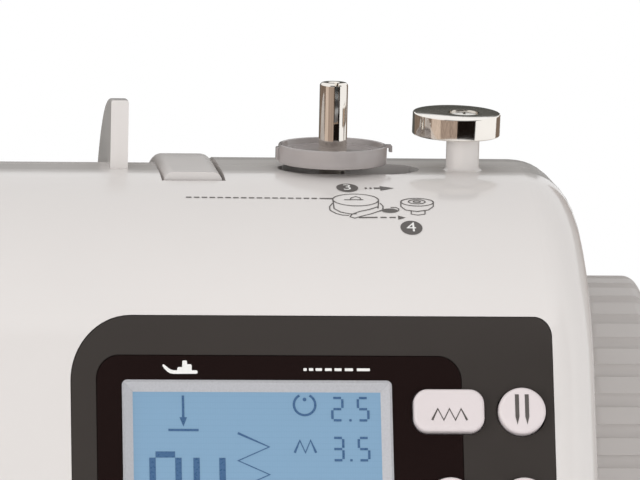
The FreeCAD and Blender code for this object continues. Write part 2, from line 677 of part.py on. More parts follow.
def joined(edges):
    """A face bounded by the edges in turn, with straight runs across the gaps between them."""
    chain = []
    for edge, after in zip(edges, edges[1:] + edges[:1]):
        chain.append(edge)
        start = edge.lastVertex(True).Point
        end = after.firstVertex(True).Point
        if (end - start).Length > TINY:
            chain.append(Part.LineSegment(start, end).toShape())
    return Part.Face(Part.Wire(chain))


def line(start, end):
    return Part.LineSegment(start, end).toShape()


def body(inset, bottom):
    """The closed form of arm and column, drawn in by inset on every side but the bottom."""
    crown = arc(CROWN_Y, BODY_TOP - CROWN_RADIUS, CROWN_RADIUS - inset, 0, -FACIA_TILT)
    brow = arc(BROW_Y, BROW_Z, BROW_RADIUS - inset, -FACIA_TILT, -90)
    floor = line(vec(0, -HALF_DEPTH + inset, bottom), vec(0, HALF_DEPTH - inset, bottom))
    back = arc(BACK_Y, BACK_Z, BACK_RADIUS - inset, 90, 0)
    section = joined([crown, brow, floor, back])
    section.translate(vec(BODY_LEFT + inset, 0, 0))
    solid = section.extrude(vec(BODY_RIGHT - BODY_LEFT - 2 * inset, 0, 0))
    rims = [e for e in solid.Edges if e.BoundBox.XLength < TINY and e.BoundBox.ZMax > bottom + TINY]
    return solid.makeFillet(END_RADIUS - inset, rims)


def throat(grow):
    """The space between head, arm, column and bed, grown into the casing by grow."""
    low = -WALL
    y = HALF_DEPTH + WALL
    x0 = HEAD_RIGHT - grow
    x1 = COLUMN_LEFT + grow
    z1 = ARM_UNDER + grow
    corners = [vec(x0, -y, low), vec(x1, -y, low), vec(x1, -y, z1), vec(x0, -y, z1)]
    radius = THROAT_RADIUS + grow
    gap = rounded_face(corners, [0, 0, radius, radius]).extrude(vec(0, 2 * y, 0))
    under_head = block(BODY_LEFT - WALL, HEAD_RIGHT + THROAT_RADIUS, -y, y, low, HEAD_UNDER + grow)
    return fuse([gap, under_head])


def handle_band(start, end, low, high):
    """A face following the back curve between two angles, from low to high above its surface."""
    outer = arc(BACK_Y, BACK_Z, BACK_RADIUS + high, start, end)
    inner = arc(BACK_Y, BACK_Z, BACK_RADIUS + low, end, start)
    return joined([outer, inner])


def across(face, middle, width):
    """Extrudes a YZ face across the machine, centred on one X."""
    moved = face.copy()
    moved.translate(vec(middle - width / 2, 0, 0))
    return moved.extrude(vec(width, 0, 0))


def handle_recess(grow):
    """The channels and grip pocket the handle folds into, grown by grow."""
    width = HANDLE_WIDTH + 2 * HANDLE_GAP + 2 * grow
    low = HANDLE_PROUD - HANDLE_THICK - HANDLE_GAP - grow
    high = HANDLE_PROUD + WALL
    shapes = []
    for x in (HANDLE_LEFT, HANDLE_RIGHT):
        shapes.append(across(handle_band(0, FINGER_SLOT_END, low, high), x, width))
        z0 = BODY_TOP + low
        shapes.append(block(x - width / 2, x + width / 2, PIVOT_Y, BACK_Y, z0, BODY_TOP + high))
        swing = LIP_SWING + HANDLE_GAP + grow
        shapes.append(rod(swing, width, vec(x - width / 2, PIVOT_Y, PIVOT_Z), X_AXIS))
    middle = (HANDLE_LEFT + HANDLE_RIGHT) / 2
    span = HANDLE_RIGHT - HANDLE_LEFT + width
    lead = math.degrees((HANDLE_GAP + grow) / BACK_RADIUS)
    shapes.append(across(handle_band(GRIP_START - lead, FINGER_SLOT_END + lead, low, high), middle, span))
    return fuse(shapes)


def spool_well(grow):
    return block(
        WELL_LEFT - grow, WELL_RIGHT + grow, CROWN_Y + WELL_FRONT - grow, CROWN_Y + WELL_BACK + grow,
        BODY_TOP - WELL_DEPTH - grow, BODY_TOP + WALL,
    )


def casing():
    """The hollow casing of arm, head and column, before it is split into covers."""
    outer = body(0, TRAY_TOP).cut([throat(0), handle_recess(0), spool_well(0)])
    inner = body(WALL, TRAY_TOP - WALL).cut([throat(WALL), handle_recess(WALL), spool_well(WALL)])
    return outer.cut(inner)


def panel_form(grow):
    corners = [PANEL_CORNER_LEFT, PANEL_CORNER_RIGHT, PANEL_CORNER_RIGHT, PANEL_CORNER_LEFT]
    return front_prism(
        PANEL_LEFT - grow, PANEL_RIGHT + grow,
        BODY_TOP - PANEL_BOTTOM - grow, BODY_TOP - PANEL_TOP + grow, corners,
    )


def window_form(grow):
    return front_prism(
        WINDOW_LEFT - grow, WINDOW_RIGHT + grow,
        BODY_TOP - WINDOW_BOTTOM - grow, BODY_TOP - WINDOW_TOP + grow, [WINDOW_CORNER] * 4,
    )


def skin(depth):
    """The outermost layer of the body form."""
    return body(0, TRAY_TOP).cut(body(depth, TRAY_TOP - WALL))


def lcd_opening():
    deep = LCD_SINK + LCD_THICK + WALL
    return on_facia(pad(LCD_WIDTH, LCD_SLOPE_HEIGHT, LCD_BEVEL / 2, -deep, WALL), LCD_X, LCD_SLOPE)


def round_cap(radius, low, high):
    return rod(radius, high - low, vec(0, 0, low))


def wide_cap(grow, low, high):
    radius = WIDE_KEY_HEIGHT / 3 + grow
    return pad(WIDE_KEY_WIDTH + 2 * grow, WIDE_KEY_HEIGHT + 2 * grow, radius, low, high)


def round_key(radius, x, slope, flange):
    """A round push key whose rim rests behind the casing wall."""
    cap = round_cap(radius, -KEY_REACH, KEY_PROUD)
    cap = cap.makeFillet(KEY_PROUD / 2, [e for e in cap.Edges if e.BoundBox.ZMin > KEY_PROUD / 2])
    if flange:
        cap = fuse([cap, round_cap(radius + flange, -KEY_REACH, -WALL - SLIP)])
    return on_facia(cap, x, slope)


def wide_key():
    cap = wide_cap(0, -KEY_REACH, KEY_PROUD)
    cap = cap.makeFillet(KEY_PROUD / 2, [e for e in cap.Edges if e.BoundBox.ZMin > KEY_PROUD / 2])
    rim = wide_cap(KEY_FLANGE, -KEY_REACH, -WALL - SLIP)
    return on_facia(fuse([cap, rim]), WIDE_KEY_X, TOP_KEY_SLOPE)


# Name, X, distance down the facia, radius and rim of each round key
ROUND_KEYS = {
    "round_key": (ROUND_KEY_X, TOP_KEY_SLOPE, ROUND_KEY_RADIUS, 0),
    "width_key": (WIDE_KEY_X, LOWER_KEY_SLOPE, ROUND_KEY_RADIUS, KEY_FLANGE),
    "length_key": (ROUND_KEY_X, LOWER_KEY_SLOPE, ROUND_KEY_RADIUS, 0),
    "start_key": (START_KEY_X, HEAD_KEY_SLOPE, START_KEY_RADIUS, KEY_FLANGE),
    "reverse_key": (REVERSE_KEY_X, HEAD_KEY_SLOPE, HEAD_KEY_RADIUS, KEY_FLANGE),
    "needle_key": (NEEDLE_KEY_X, HEAD_KEY_SLOPE, HEAD_KEY_RADIUS, KEY_FLANGE),
}


def key_openings():
    deep = 4 * WALL
    holes = [on_facia(wide_cap(SLIP, -deep, deep), WIDE_KEY_X, TOP_KEY_SLOPE)]
    for x, slope, radius, _ in ROUND_KEYS.values():
        holes.append(on_facia(round_cap(radius + SLIP, -deep, deep), x, slope))
    return holes


def slider_opening():
    length = SLIDER_TRAVEL + SLIDER_STEM + 2 * SLIP
    opening = pad(length, SLIDER_SLOT_HEIGHT, SLIP, -2 * WALL, 2 * WALL)
    return on_facia(opening, SLIDER_X, HEAD_KEY_SLOPE)


def casing_openings():
    """Holes through the casing wall for what passes or moves through it."""
    holes = key_openings()
    holes.append(slider_opening())
    holes.append(lcd_opening())
    radius = WINDER_SLOT_WIDTH / 2
    start = vec(WINDER_SLOT_LEFT + radius, WINDER_Y, BODY_TOP - 2 * WALL)
    end = vec(WINDER_SLOT_RIGHT - radius, WINDER_Y, BODY_TOP - 2 * WALL)
    holes.append(slot(radius, start, end, 4 * WALL))
    x = TAKE_UP_X - TAKE_UP_SLOT / 2
    back = CROWN_Y - CROWN_RADIUS / 2
    holes.append(block(x, x + TAKE_UP_SLOT, -HALF_DEPTH, back, TAKE_UP_SLOT_FOOT, TAKE_UP_SLOT_TOP))
    dial = DIAL_CENTRE + vec(DIAL_LEFT - SLIP, 0, 0)
    holes.append(rod(DIAL_RADIUS + 2 * SLIP, DIAL_WIDTH + 2 * SLIP, dial, X_AXIS))
    wall_x0 = BODY_RIGHT - 2 * WALL
    wall_x1 = BODY_RIGHT + WALL
    shaft = vec(wall_x0, MAIN_SHAFT_Y, MAIN_SHAFT_Z)
    holes.append(rod(MAIN_SHAFT_RADIUS + WALL, wall_x1 - wall_x0, shaft, X_AXIS))
    low = SWITCH_Z - SWITCH_HALF_HEIGHT - SWITCH_GAP
    high = SWITCH_Z + SWITCH_HALF_HEIGHT + SWITCH_GAP
    holes.append(block(wall_x0, wall_x1, SWITCH_Y0 - SLIP, SWITCH_Y1 + SLIP, low, high))
    holes.append(block(wall_x0, wall_x1, INLET_Y0, INLET_Y1, INLET_Z0, INLET_Z1))
    holes.append(
        block(
            HEAD_OPENING_LEFT, HEAD_OPENING_RIGHT, HEAD_OPENING_FRONT, HEAD_OPENING_BACK,
            HEAD_UNDER - WALL, HEAD_UNDER + 2 * WALL,
        )
    )
    holes.append(
        block(
            COLUMN_LEFT - WALL, COLUMN_LEFT + 2 * WALL, FREE_ARM_Y0 + WALL, FREE_ARM_Y1 - WALL,
            TRAY_TOP - WALL, BED_TOP - 2 * WALL,
        )
    )
    for i in range(VENT_COUNT):
        x = VENT_LEFT + i * VENT_PITCH
        holes.append(block(x, x + VENT_WIDTH, HALF_DEPTH - 2 * WALL, HALF_DEPTH + WALL, VENT_FOOT, VENT_TOP))
    width = HANDLE_WIDTH + 2 * HANDLE_GAP + 2 * WALL
    for x in (HANDLE_LEFT, HANDLE_RIGHT):
        stub = vec(x - width / 2, PIVOT_Y, PIVOT_Z)
        holes.append(rod(HANDLE_STUB_RADIUS + RUNNING, width, stub, X_AXIS))
    return holes


def stopper_post():
    """Post moulded on the front cover, with a shoulder and the journal the stopper turns on."""
    foot = vec(STOPPER_X, WINDER_Y, BODY_TOP - WALL / 2)
    height = WALL / 2 + STOPPER_FOOT - SLIP
    journal = STOPPER_POST_RADIUS - STOPPER_STEP
    root = STOPPER_POST_RADIUS + STOPPER_POST_FLARE
    top_face = vec(STOPPER_X, WINDER_Y, BODY_TOP)
    hollow = Part.makeTorus(root, STOPPER_POST_FLARE, top_face + vec(0, 0, STOPPER_POST_FLARE))
    flare = rod(root, STOPPER_POST_FLARE, top_face).cut(hollow)
    top = STOPPER_FOOT + STOPPER_THICK - STOPPER_RECESS_DEPTH
    stud = rod(journal, top + WALL / 2, foot)
    return fuse([rod(STOPPER_POST_RADIUS, height, foot), flare, stud])


def covers():
    """Front, rear and face covers: the casing split at its seams."""
    shell = casing().cut(casing_openings())
    far = 2 * BODY_RIGHT
    tall = 2 * BODY_TOP
    half = SEAM_GAP / 2
    right = FACE_SEAM_X + half
    pocket = skin(PANEL_THICK).common(panel_form(SLIP / 2))
    front = shell.common(block(right, far, -far, SEAM_Y - half, 0, tall)).cut(pocket)
    rear = shell.common(block(right, far, SEAM_Y + half, far, 0, tall))
    face = shell.common(block(-far, FACE_SEAM_X - half, -far, far, 0, tall))
    return {"front_cover": fuse([front, stopper_post()]), "rear_cover": rear, "face_cover": face}


def panel_parts():
    """Panel inlay, display window, bezel and screen."""
    holes = key_openings() + [lcd_opening()]
    window_pocket = skin(WINDOW_THICK).common(window_form(SLIP / 2))
    panel = skin(PANEL_THICK).common(panel_form(0)).cut(window_pocket).cut(holes)
    window = skin(WINDOW_THICK).common(window_form(0)).cut(holes)
    width = LCD_WIDTH - 2 * RUNNING
    height = LCD_SLOPE_HEIGHT - 2 * RUNNING
    frame = pad(width, height, LCD_BEVEL / 2, -LCD_SINK, SLIP)
    wires = []
    for edge, level in ((LCD_LIP, SLIP), (LCD_BEVEL, -LCD_SINK)):
        x = width / 2 - edge
        y = height / 2 - edge
        corners = [vec(-x, -y, level), vec(x, -y, level), vec(x, y, level), vec(-x, y, level)]
        wires.append(Part.makePolygon(corners + corners[:1]))
    bezel = frame.cut(Part.makeLoft(wires, True, True))
    screen = pad(width, height, LCD_BEVEL / 2, -LCD_SINK - LCD_THICK, -LCD_SINK)
    return {
        "control_panel": panel,
        "display_window": window,
        "lcd_bezel": on_facia(bezel, LCD_X, LCD_SLOPE),
        "lcd_screen": on_facia(screen, LCD_X, LCD_SLOPE),
    }


def rounded_block(x0, x1, y0, y1, z0, z1, radii):
    """A box whose upright corners are rounded, from the front left corner round to the back left one."""
    corners = [vec(x0, y0, z0), vec(x1, y0, z0), vec(x1, y1, z0), vec(x0, y1, z0)]
    return rounded_face(corners, radii).extrude(vec(0, 0, z1 - z0))


def tray_screw_places():
    for x in (BED_PLATE_LEFT + TRAY_SCREW_INSET, BED_PLATE_RIGHT - TRAY_SCREW_INSET):
        for y in (BED_PLATE_FRONT + TRAY_SCREW_INSET, BED_PLATE_BACK - TRAY_SCREW_INSET):
            yield x, y


def base_parts():
    """Bottom tray, feet and the screws that hold the frame to the tray."""
    r = END_RADIUS
    column = rounded_block(
        COLUMN_LEFT, BODY_RIGHT, -HALF_DEPTH, HALF_DEPTH, FOOT_HEIGHT, TRAY_TOP, [0, r, r, 0],
    )
    e = FREE_ARM_END_RADIUS
    arm = rounded_block(
        BODY_LEFT, COLUMN_LEFT, FREE_ARM_Y0, FREE_ARM_Y1, FOOT_HEIGHT, TRAY_TOP, [e, 0, 0, e],
    )
    tray = fuse([column, arm])
    screws = []
    length = TRAY_THICK + BED_PLATE_THICK - SCREW_TIP_COVER
    for x, y in tray_screw_places():
        tray = tray.cut(rod(SCREW_RADIUS + RUNNING, TRAY_THICK, vec(x, y, FOOT_HEIGHT)))
        under = vec(x, y, FOOT_HEIGHT - SCREW_HEAD_HEIGHT)
        head = rod(SCREW_HEAD_RADIUS, SCREW_HEAD_HEIGHT, under)
        screws.append(fuse([head, rod(SCREW_RADIUS, length, vec(x, y, FOOT_HEIGHT))]))
    feet = []
    for x in (COLUMN_LEFT + FOOT_INSET, BODY_RIGHT - FOOT_INSET):
        for y in (-HALF_DEPTH + FOOT_INSET, HALF_DEPTH - FOOT_INSET):
            feet.append(rod(FOOT_RADIUS, FOOT_HEIGHT, vec(x, y, 0)))
    for y in (FREE_ARM_Y0 + FOOT_INSET, FREE_ARM_Y1 - FOOT_INSET):
        feet.append(rod(FOOT_RADIUS, FOOT_HEIGHT, vec(BODY_LEFT + FOOT_INSET, y, 0)))
    return {
        "base_tray": tray,
        "rubber_feet": Part.makeCompound(feet),
        "tray_screws": Part.makeCompound(screws),
    }


def plate_screw_places():
    for side in (-1, 1):
        yield NEEDLE_X + side * PLATE_SCREW_X, NEEDLE_Y + PLATE_SCREW_BEHIND


def feed_bars(grow, low, high):
    """The toothed bars of the feed dog, grown sideways by grow."""
    bars = []
    side = -FEED_BAR_FRONT
    back = NEEDLE_Y + FEED_BAR_BACK + grow
    for x, front in ((-FEED_BAR_X, side), (FEED_BAR_X, side), (0, FEED_CENTRE_FRONT)):
        x0 = NEEDLE_X + x - FEED_BAR_HALF - grow
        x1 = NEEDLE_X + x + FEED_BAR_HALF + grow
        bars.append(block(x0, x1, NEEDLE_Y + front - grow, back, low, high))
    return bars


def free_arm_parts():
    """Free-arm cover, needle plate with its screws, and hook cover."""
    e = FREE_ARM_END_RADIUS
    right = COLUMN_LEFT - SLIP
    outer = rounded_block(
        BODY_LEFT, right, FREE_ARM_Y0, FREE_ARM_Y1, TRAY_TOP, BED_TOP, [e, 0, 0, e],
    )
    r = e - WALL
    inner = rounded_block(
        BODY_LEFT + WALL, right + WALL, FREE_ARM_Y0 + WALL, FREE_ARM_Y1 - WALL,
        TRAY_TOP - WALL, BED_TOP - ARM_TOP_THICK, [r, 0, 0, r],
    )
    x0 = NEEDLE_X - PLATE_HALF_WIDTH
    x1 = NEEDLE_X + PLATE_HALF_WIDTH
    seat = BED_TOP - PLATE_THICK
    recess = block(x0, x1, COVER_Y0, PLATE_Y1, seat, BED_TOP + WALL)
    mouth = block(
        x0 + SIDE_LEDGE, x1 - SIDE_LEDGE, COVER_Y0 + LEDGE, PLATE_Y1 - LEDGE,
        BED_TOP - 2 * ARM_TOP_THICK, BED_TOP,
    )
    lever_slot = block(
        DROP_LEVER_X - FEED_SLOT_GAP, DROP_LEVER_X + DROP_LEVER_WIDTH + DROP_TRAVEL + FEED_SLOT_GAP,
        FREE_ARM_Y1 - 2 * WALL, FREE_ARM_Y1 + WALL,
        DROP_LEVER_Z0 - FEED_SLOT_GAP, DROP_LEVER_Z1 + FEED_SLOT_GAP,
    )
    cover = outer.cut([inner, recess, mouth, lever_slot])
    edge = SLIP / 2
    plate = block(x0 + edge, x1 - edge, PLATE_Y0, PLATE_Y1 - edge, seat, BED_TOP)
    hole_start = vec(NEEDLE_X - NEEDLE_HOLE_HALF + NEEDLE_HOLE_RADIUS, NEEDLE_Y, seat)
    hole_end = vec(NEEDLE_X + NEEDLE_HOLE_HALF - NEEDLE_HOLE_RADIUS, NEEDLE_Y, seat)
    plate = plate.cut([slot(NEEDLE_HOLE_RADIUS, hole_start, hole_end, PLATE_THICK)])
    plate = plate.cut(feed_bars(FEED_SLOT_GAP, seat, BED_TOP))
    screws = []
    for x, y in plate_screw_places():
        tip = vec(x, y, BED_TOP - PLATE_SCREW_LENGTH)
        head = vec(x, y, BED_TOP - SCREW_HEAD_HEIGHT)
        cover = cover.cut(rod(SCREW_RADIUS + RUNNING, PLATE_SCREW_LENGTH, tip))
        plate = plate.cut(rod(SCREW_RADIUS + RUNNING, PLATE_SCREW_LENGTH, tip))
        plate = plate.cut(rod(SCREW_HEAD_RADIUS + RUNNING, SCREW_HEAD_HEIGHT, head))
        shank = rod(SCREW_RADIUS, PLATE_SCREW_LENGTH - SCREW_HEAD_HEIGHT, tip)
        screws.append(fuse([rod(SCREW_HEAD_RADIUS, SCREW_HEAD_HEIGHT, head), shank]))
    lid = block(x0 + edge, x1 - edge, COVER_Y0 + edge, PLATE_Y0 - SLIP, seat, BED_TOP)
    return {
        "free_arm_cover": cover,
        "needle_plate": plate,
        "needle_plate_screws": Part.makeCompound(screws),
        "hook_cover": lid,
    }


def feed_parts():
    """Feed dog with its leg, and the lever that drops it."""
    half = FEED_BAR_X + FEED_MARGIN
    front = NEEDLE_Y - FEED_BAR_FRONT - FEED_FRONT_MARGIN
    back = NEEDLE_Y + FEED_BAR_BACK + FEED_MARGIN
    carrier = block(NEEDLE_X - half, NEEDLE_X + half, front, back, FEED_BLOCK_FOOT, FEED_BLOCK_TOP)
    x0 = NEEDLE_X - FEED_WINDOW_HALF
    x1 = NEEDLE_X + FEED_WINDOW_HALF
    window = block(
        x0, x1, NEEDLE_Y - FEED_WINDOW_FRONT, NEEDLE_Y + FEED_WINDOW_BACK, FEED_BLOCK_FOOT, FEED_BLOCK_TOP,
    )
    carrier = carrier.cut(window)
    leg = block(x0, x1, back - FEED_LEG_FRONT, back + FEED_LEG_BACK, FEED_LEG_FOOT, FEED_BLOCK_TOP)
    dog = fuse([carrier, leg] + feed_bars(0, FEED_BLOCK_TOP, BED_TOP + FEED_RISE))
    knob = block(
        DROP_LEVER_X, DROP_LEVER_X + DROP_LEVER_WIDTH, FREE_ARM_Y1 - 2 * WALL, FREE_ARM_Y1 - SLIP,
        DROP_LEVER_Z0, DROP_LEVER_Z1,
    )
    tail = block(
        DROP_LEVER_X + DROP_LEVER_STEP, DROP_LEVER_X + DROP_LEVER_WIDTH - DROP_LEVER_STEP,
        FREE_ARM_Y1 - 5 * WALL, FREE_ARM_Y1 - 2 * WALL,
        DROP_LEVER_Z0 + DROP_LEVER_STEP, DROP_LEVER_Z1 - DROP_LEVER_STEP,
    )
    return {"feed_dog": dog, "drop_lever": fuse([knob, tail])}


def table_form(inset, bottom):
    """The extension table's U shape, drawn in by inset on every side but the bottom."""
    c = TABLE_CORNER - inset
    half = HALF_DEPTH - inset
    top = BED_TOP - inset
    right = COLUMN_LEFT - TABLE_GAP - inset
    outer = rounded_block(TABLE_LEFT + inset, right, -half, half, bottom, top, [c, 0, 0, c])
    gap = TABLE_GAP + inset
    e = FREE_ARM_END_RADIUS + gap
    space = rounded_block(
        BODY_LEFT - gap, COLUMN_LEFT + WALL, FREE_ARM_Y0 - gap, FREE_ARM_Y1 + gap,
        bottom, BED_TOP, [e, 0, 0, e],
    )
    return outer.cut(space)


def extension_table():
    return table_form(0, TABLE_LIFT).cut(table_form(WALL, TABLE_LIFT - WALL))


def hook_parts():
    """Hook with its gear and shaft, the holder inside it, and the bobbin."""
    centre = vec(NEEDLE_X, HOOK_Y, 0)
    cup = rod(HOOK_RADIUS, HOOK_TOP - HOOK_FOOT, centre + vec(0, 0, HOOK_FOOT))
    inside = centre + vec(0, 0, HOOK_FOOT + HOOK_WALL)
    cup = cup.cut(rod(HOOK_RADIUS - HOOK_WALL, HOOK_TOP - HOOK_FOOT, inside))
    shaft_foot = BED_PLATE_TOP + SLIP
    shaft = rod(HOOK_SHAFT_RADIUS, HOOK_FOOT - shaft_foot, centre + vec(0, 0, shaft_foot))
    gear = rod(HOOK_GEAR_RADIUS, HOOK_GEAR_TOP - HOOK_GEAR_FOOT, centre + vec(0, 0, HOOK_GEAR_FOOT))
    holder_foot = HOOK_FOOT + HOOK_WALL + SLIP
    floor = holder_foot + HOOK_WALL
    holder = rod(HOLDER_RADIUS, HOLDER_TOP - holder_foot, centre + vec(0, 0, holder_foot))
    holder = holder.cut(rod(BOBBIN_RADIUS + HOLDER_GAP, HOLDER_TOP, centre + vec(0, 0, floor)))
    foot = floor + SLIP
    spool = rod(BOBBIN_RADIUS, BOBBIN_HEIGHT, centre + vec(0, 0, foot))
    groove_height = BOBBIN_HEIGHT - 2 * BOBBIN_FLANGE
    groove_foot = centre + vec(0, 0, foot + BOBBIN_FLANGE)
    groove = tube(BOBBIN_RADIUS + BOBBIN_FLANGE, BOBBIN_CORE, groove_height, groove_foot)
    bore = rod(BOBBIN_BORE, BOBBIN_HEIGHT, centre + vec(0, 0, foot))
    return {
        "hook": fuse([cup, shaft, gear]),
        "bobbin_holder": holder,
        "bobbin": spool.cut([groove, bore]),
    }


def bush_places():
    """Left end, length, centre and shaft radius of each shaft bush."""
    main = vec(0, MAIN_SHAFT_Y, MAIN_SHAFT_Z)
    lower = vec(0, LOWER_SHAFT_Y, LOWER_SHAFT_Z)
    yield HEAD_BEARING_LEFT, HEAD_BEARING_WIDTH, main, MAIN_SHAFT_RADIUS
    yield PILLAR_LEFT, PILLAR_THICK, main, MAIN_SHAFT_RADIUS
    yield LOWER_BEARING_LEFT, LOWER_BEARING_WIDTH, lower, LOWER_SHAFT_RADIUS
    yield PILLAR_LEFT, PILLAR_THICK, lower, LOWER_SHAFT_RADIUS


def main_frame():
    """The casting that carries the shafts, bars and pivots."""
    near = MAIN_SHAFT_Y - BEARING_HALF
    far = MAIN_SHAFT_Y + BEARING_HALF
    lower0 = LOWER_SHAFT_Y - LOWER_BEARING_HALF
    lower1 = LOWER_SHAFT_Y + LOWER_BEARING_HALF
    lower_top = LOWER_SHAFT_Z + LOWER_BEARING_HALF
    head_x1 = HEAD_BEARING_LEFT + HEAD_BEARING_WIDTH
    lower_x1 = LOWER_BEARING_LEFT + LOWER_BEARING_WIDTH
    plate = (HEAD_PLATE_Y0, HEAD_PLATE_Y1)
    lug = (NEEDLE_X - LIFTER_HALF, NEEDLE_X + LIFTER_HALF)
    pieces = [
        block(BED_PLATE_LEFT, BED_PLATE_RIGHT, BED_PLATE_FRONT, BED_PLATE_BACK, TRAY_TOP, BED_PLATE_TOP),
        block(PILLAR_LEFT, PILLAR_RIGHT, PILLAR_FRONT, BEAM_BACK, BED_PLATE_TOP, BEAM_TOP),
        block(BEAM_LEFT, BED_PLATE_RIGHT, BEAM_FRONT, BEAM_BACK, BEAM_FOOT, BEAM_TOP),
        block(PILLAR_LEFT, PILLAR_RIGHT, near, far, BEAM_FOOT, BEARING_TOP),
        block(HEAD_BEARING_LEFT, head_x1, near, far, BEAM_FOOT, BEARING_TOP),
        block(LOWER_BEARING_LEFT, lower_x1, lower0, lower1, BED_PLATE_TOP, lower_top),
        block(HEAD_PLATE_LEFT, HEAD_PLATE_RIGHT, *plate, HEAD_PLATE_FOOT, HEAD_PLATE_TOP),
        block(*lug, *plate, LIFTER_Z - LIFTER_HALF, HEAD_PLATE_FOOT),
        rod(LIFTER_PIN_RADIUS, LIFTER_PIN_LENGTH, vec(NEEDLE_X, HEAD_PLATE_Y1, LIFTER_Z), Y_AXIS),
        rod(HOOK_BOSS_RADIUS, HOOK_BOSS_TOP - BED_PLATE_TOP, vec(NEEDLE_X, HOOK_Y, BED_PLATE_TOP)),
    ]
    ledge_right = NEEDLE_X + LEDGE_HALF
    ledge_left = NEEDLE_X - LEDGE_HALF
    ledge_front = NEEDLE_Y - LEDGE_FRONT
    for foot in (HEAD_PLATE_FOOT, UPPER_LEDGE_FOOT):
        ledge = block(ledge_left, ledge_right, ledge_front, HEAD_PLATE_Y0, foot, foot + LEDGE_THICK)
        pieces.append(ledge)
    take_up_end = TAKE_UP_X + 1.5 * TAKE_UP_THICK
    take_up_pivot = vec(ledge_right, TAKE_UP_PIVOT_Y, TAKE_UP_PIVOT_Z)
    pieces.append(rod(PIVOT_PIN_RADIUS, take_up_end - ledge_right, take_up_pivot, X_AXIS))
    bracket_right = DIAL_BRACKET_LEFT + DIAL_BRACKET_THICK
    bracket = (DIAL_BRACKET_LEFT, bracket_right, DIAL_CENTRE_Y - 2 * PIVOT_PIN_RADIUS)
    pieces.append(block(*bracket, near, BEAM_FOOT, DIAL_BRACKET_TOP))
    pieces.append(block(*bracket, BEAM_BACK, BEAM_FOOT, BEAM_TOP))
    dial_pin = DIAL_CENTRE + vec(DIAL_LEFT, 0, 0)
    pieces.append(rod(PIVOT_PIN_RADIUS, DIAL_BRACKET_LEFT - DIAL_LEFT, dial_pin, X_AXIS))
    half = WINDER_POST_RADIUS
    post = (WINDER_X - half, WINDER_X + half, WINDER_PIVOT_Y - half)
    pieces.append(block(*post, BEAM_BACK, BEAM_FOOT, BEAM_TOP))
    seat = BODY_TOP - WINDER_PLATE_SINK
    winder_pivot = vec(WINDER_X, WINDER_PIVOT_Y, BEAM_FOOT)
    pieces.append(rod(WINDER_POST_RADIUS, seat - BEAM_FOOT, winder_pivot))
    pieces.append(rod(PIVOT_PIN_RADIUS, seat + WINDER_PLATE_THICK + SLIP - BEAM_FOOT, winder_pivot))
    frame = fuse(pieces)
    cuts = []
    for x, length, centre, radius in bush_places():
        cuts.append(rod(radius + BUSH_WALL, length, centre + vec(x, 0, 0), X_AXIS))
    for y, radius in ((NEEDLE_Y, NEEDLE_BAR_RADIUS), (PRESSER_Y, PRESSER_BAR_RADIUS)):
        cuts.append(rod(radius + RUNNING, BODY_TOP - HEAD_UNDER, vec(NEEDLE_X, y, HEAD_UNDER)))
    hook_seat = vec(NEEDLE_X, HOOK_Y, BED_PLATE_TOP)
    cuts.append(rod(HOOK_SHAFT_RADIUS + RUNNING, HOOK_BOSS_TOP - BED_PLATE_TOP, hook_seat))
    for x, y in tray_screw_places():
        cuts.append(rod(SCREW_RADIUS + RUNNING, BED_PLATE_THICK - SCREW_TIP_COVER, vec(x, y, TRAY_TOP)))
    return frame.cut(cuts)


def shaft_bushes():
    bushes = []
    for x, length, centre, radius in bush_places():
        bushes.append(tube(radius + BUSH_WALL, radius + RUNNING, length, centre + vec(x, 0, 0), X_AXIS))
    return Part.makeCompound(bushes)


def belt(start, start_radius, end, end_radius, x, width):
    """A flat belt round two pulleys whose centres are given in the YZ plane."""
    reach = end - start
    heading = math.atan2(reach.z, reach.y)
    spread = math.acos((start_radius - end_radius) / reach.Length)

    def loop(gap):
        def point(centre, radius, angle):
            reach = radius + gap
            return vec(x, centre.y + reach * math.cos(angle), centre.z + reach * math.sin(angle))

        up = heading + spread
        down = heading - spread
        far_turn = [point(end, end_radius, a) for a in (down, heading, up)]
        near_turn = [point(start, start_radius, a) for a in (up, heading + math.pi, down)]
        return joined([Part.Arc(*far_turn).toShape(), Part.Arc(*near_turn).toShape()])

    band = loop(SLIP + BELT_THICK).cut(loop(SLIP))
    return band.extrude(vec(width, 0, 0))


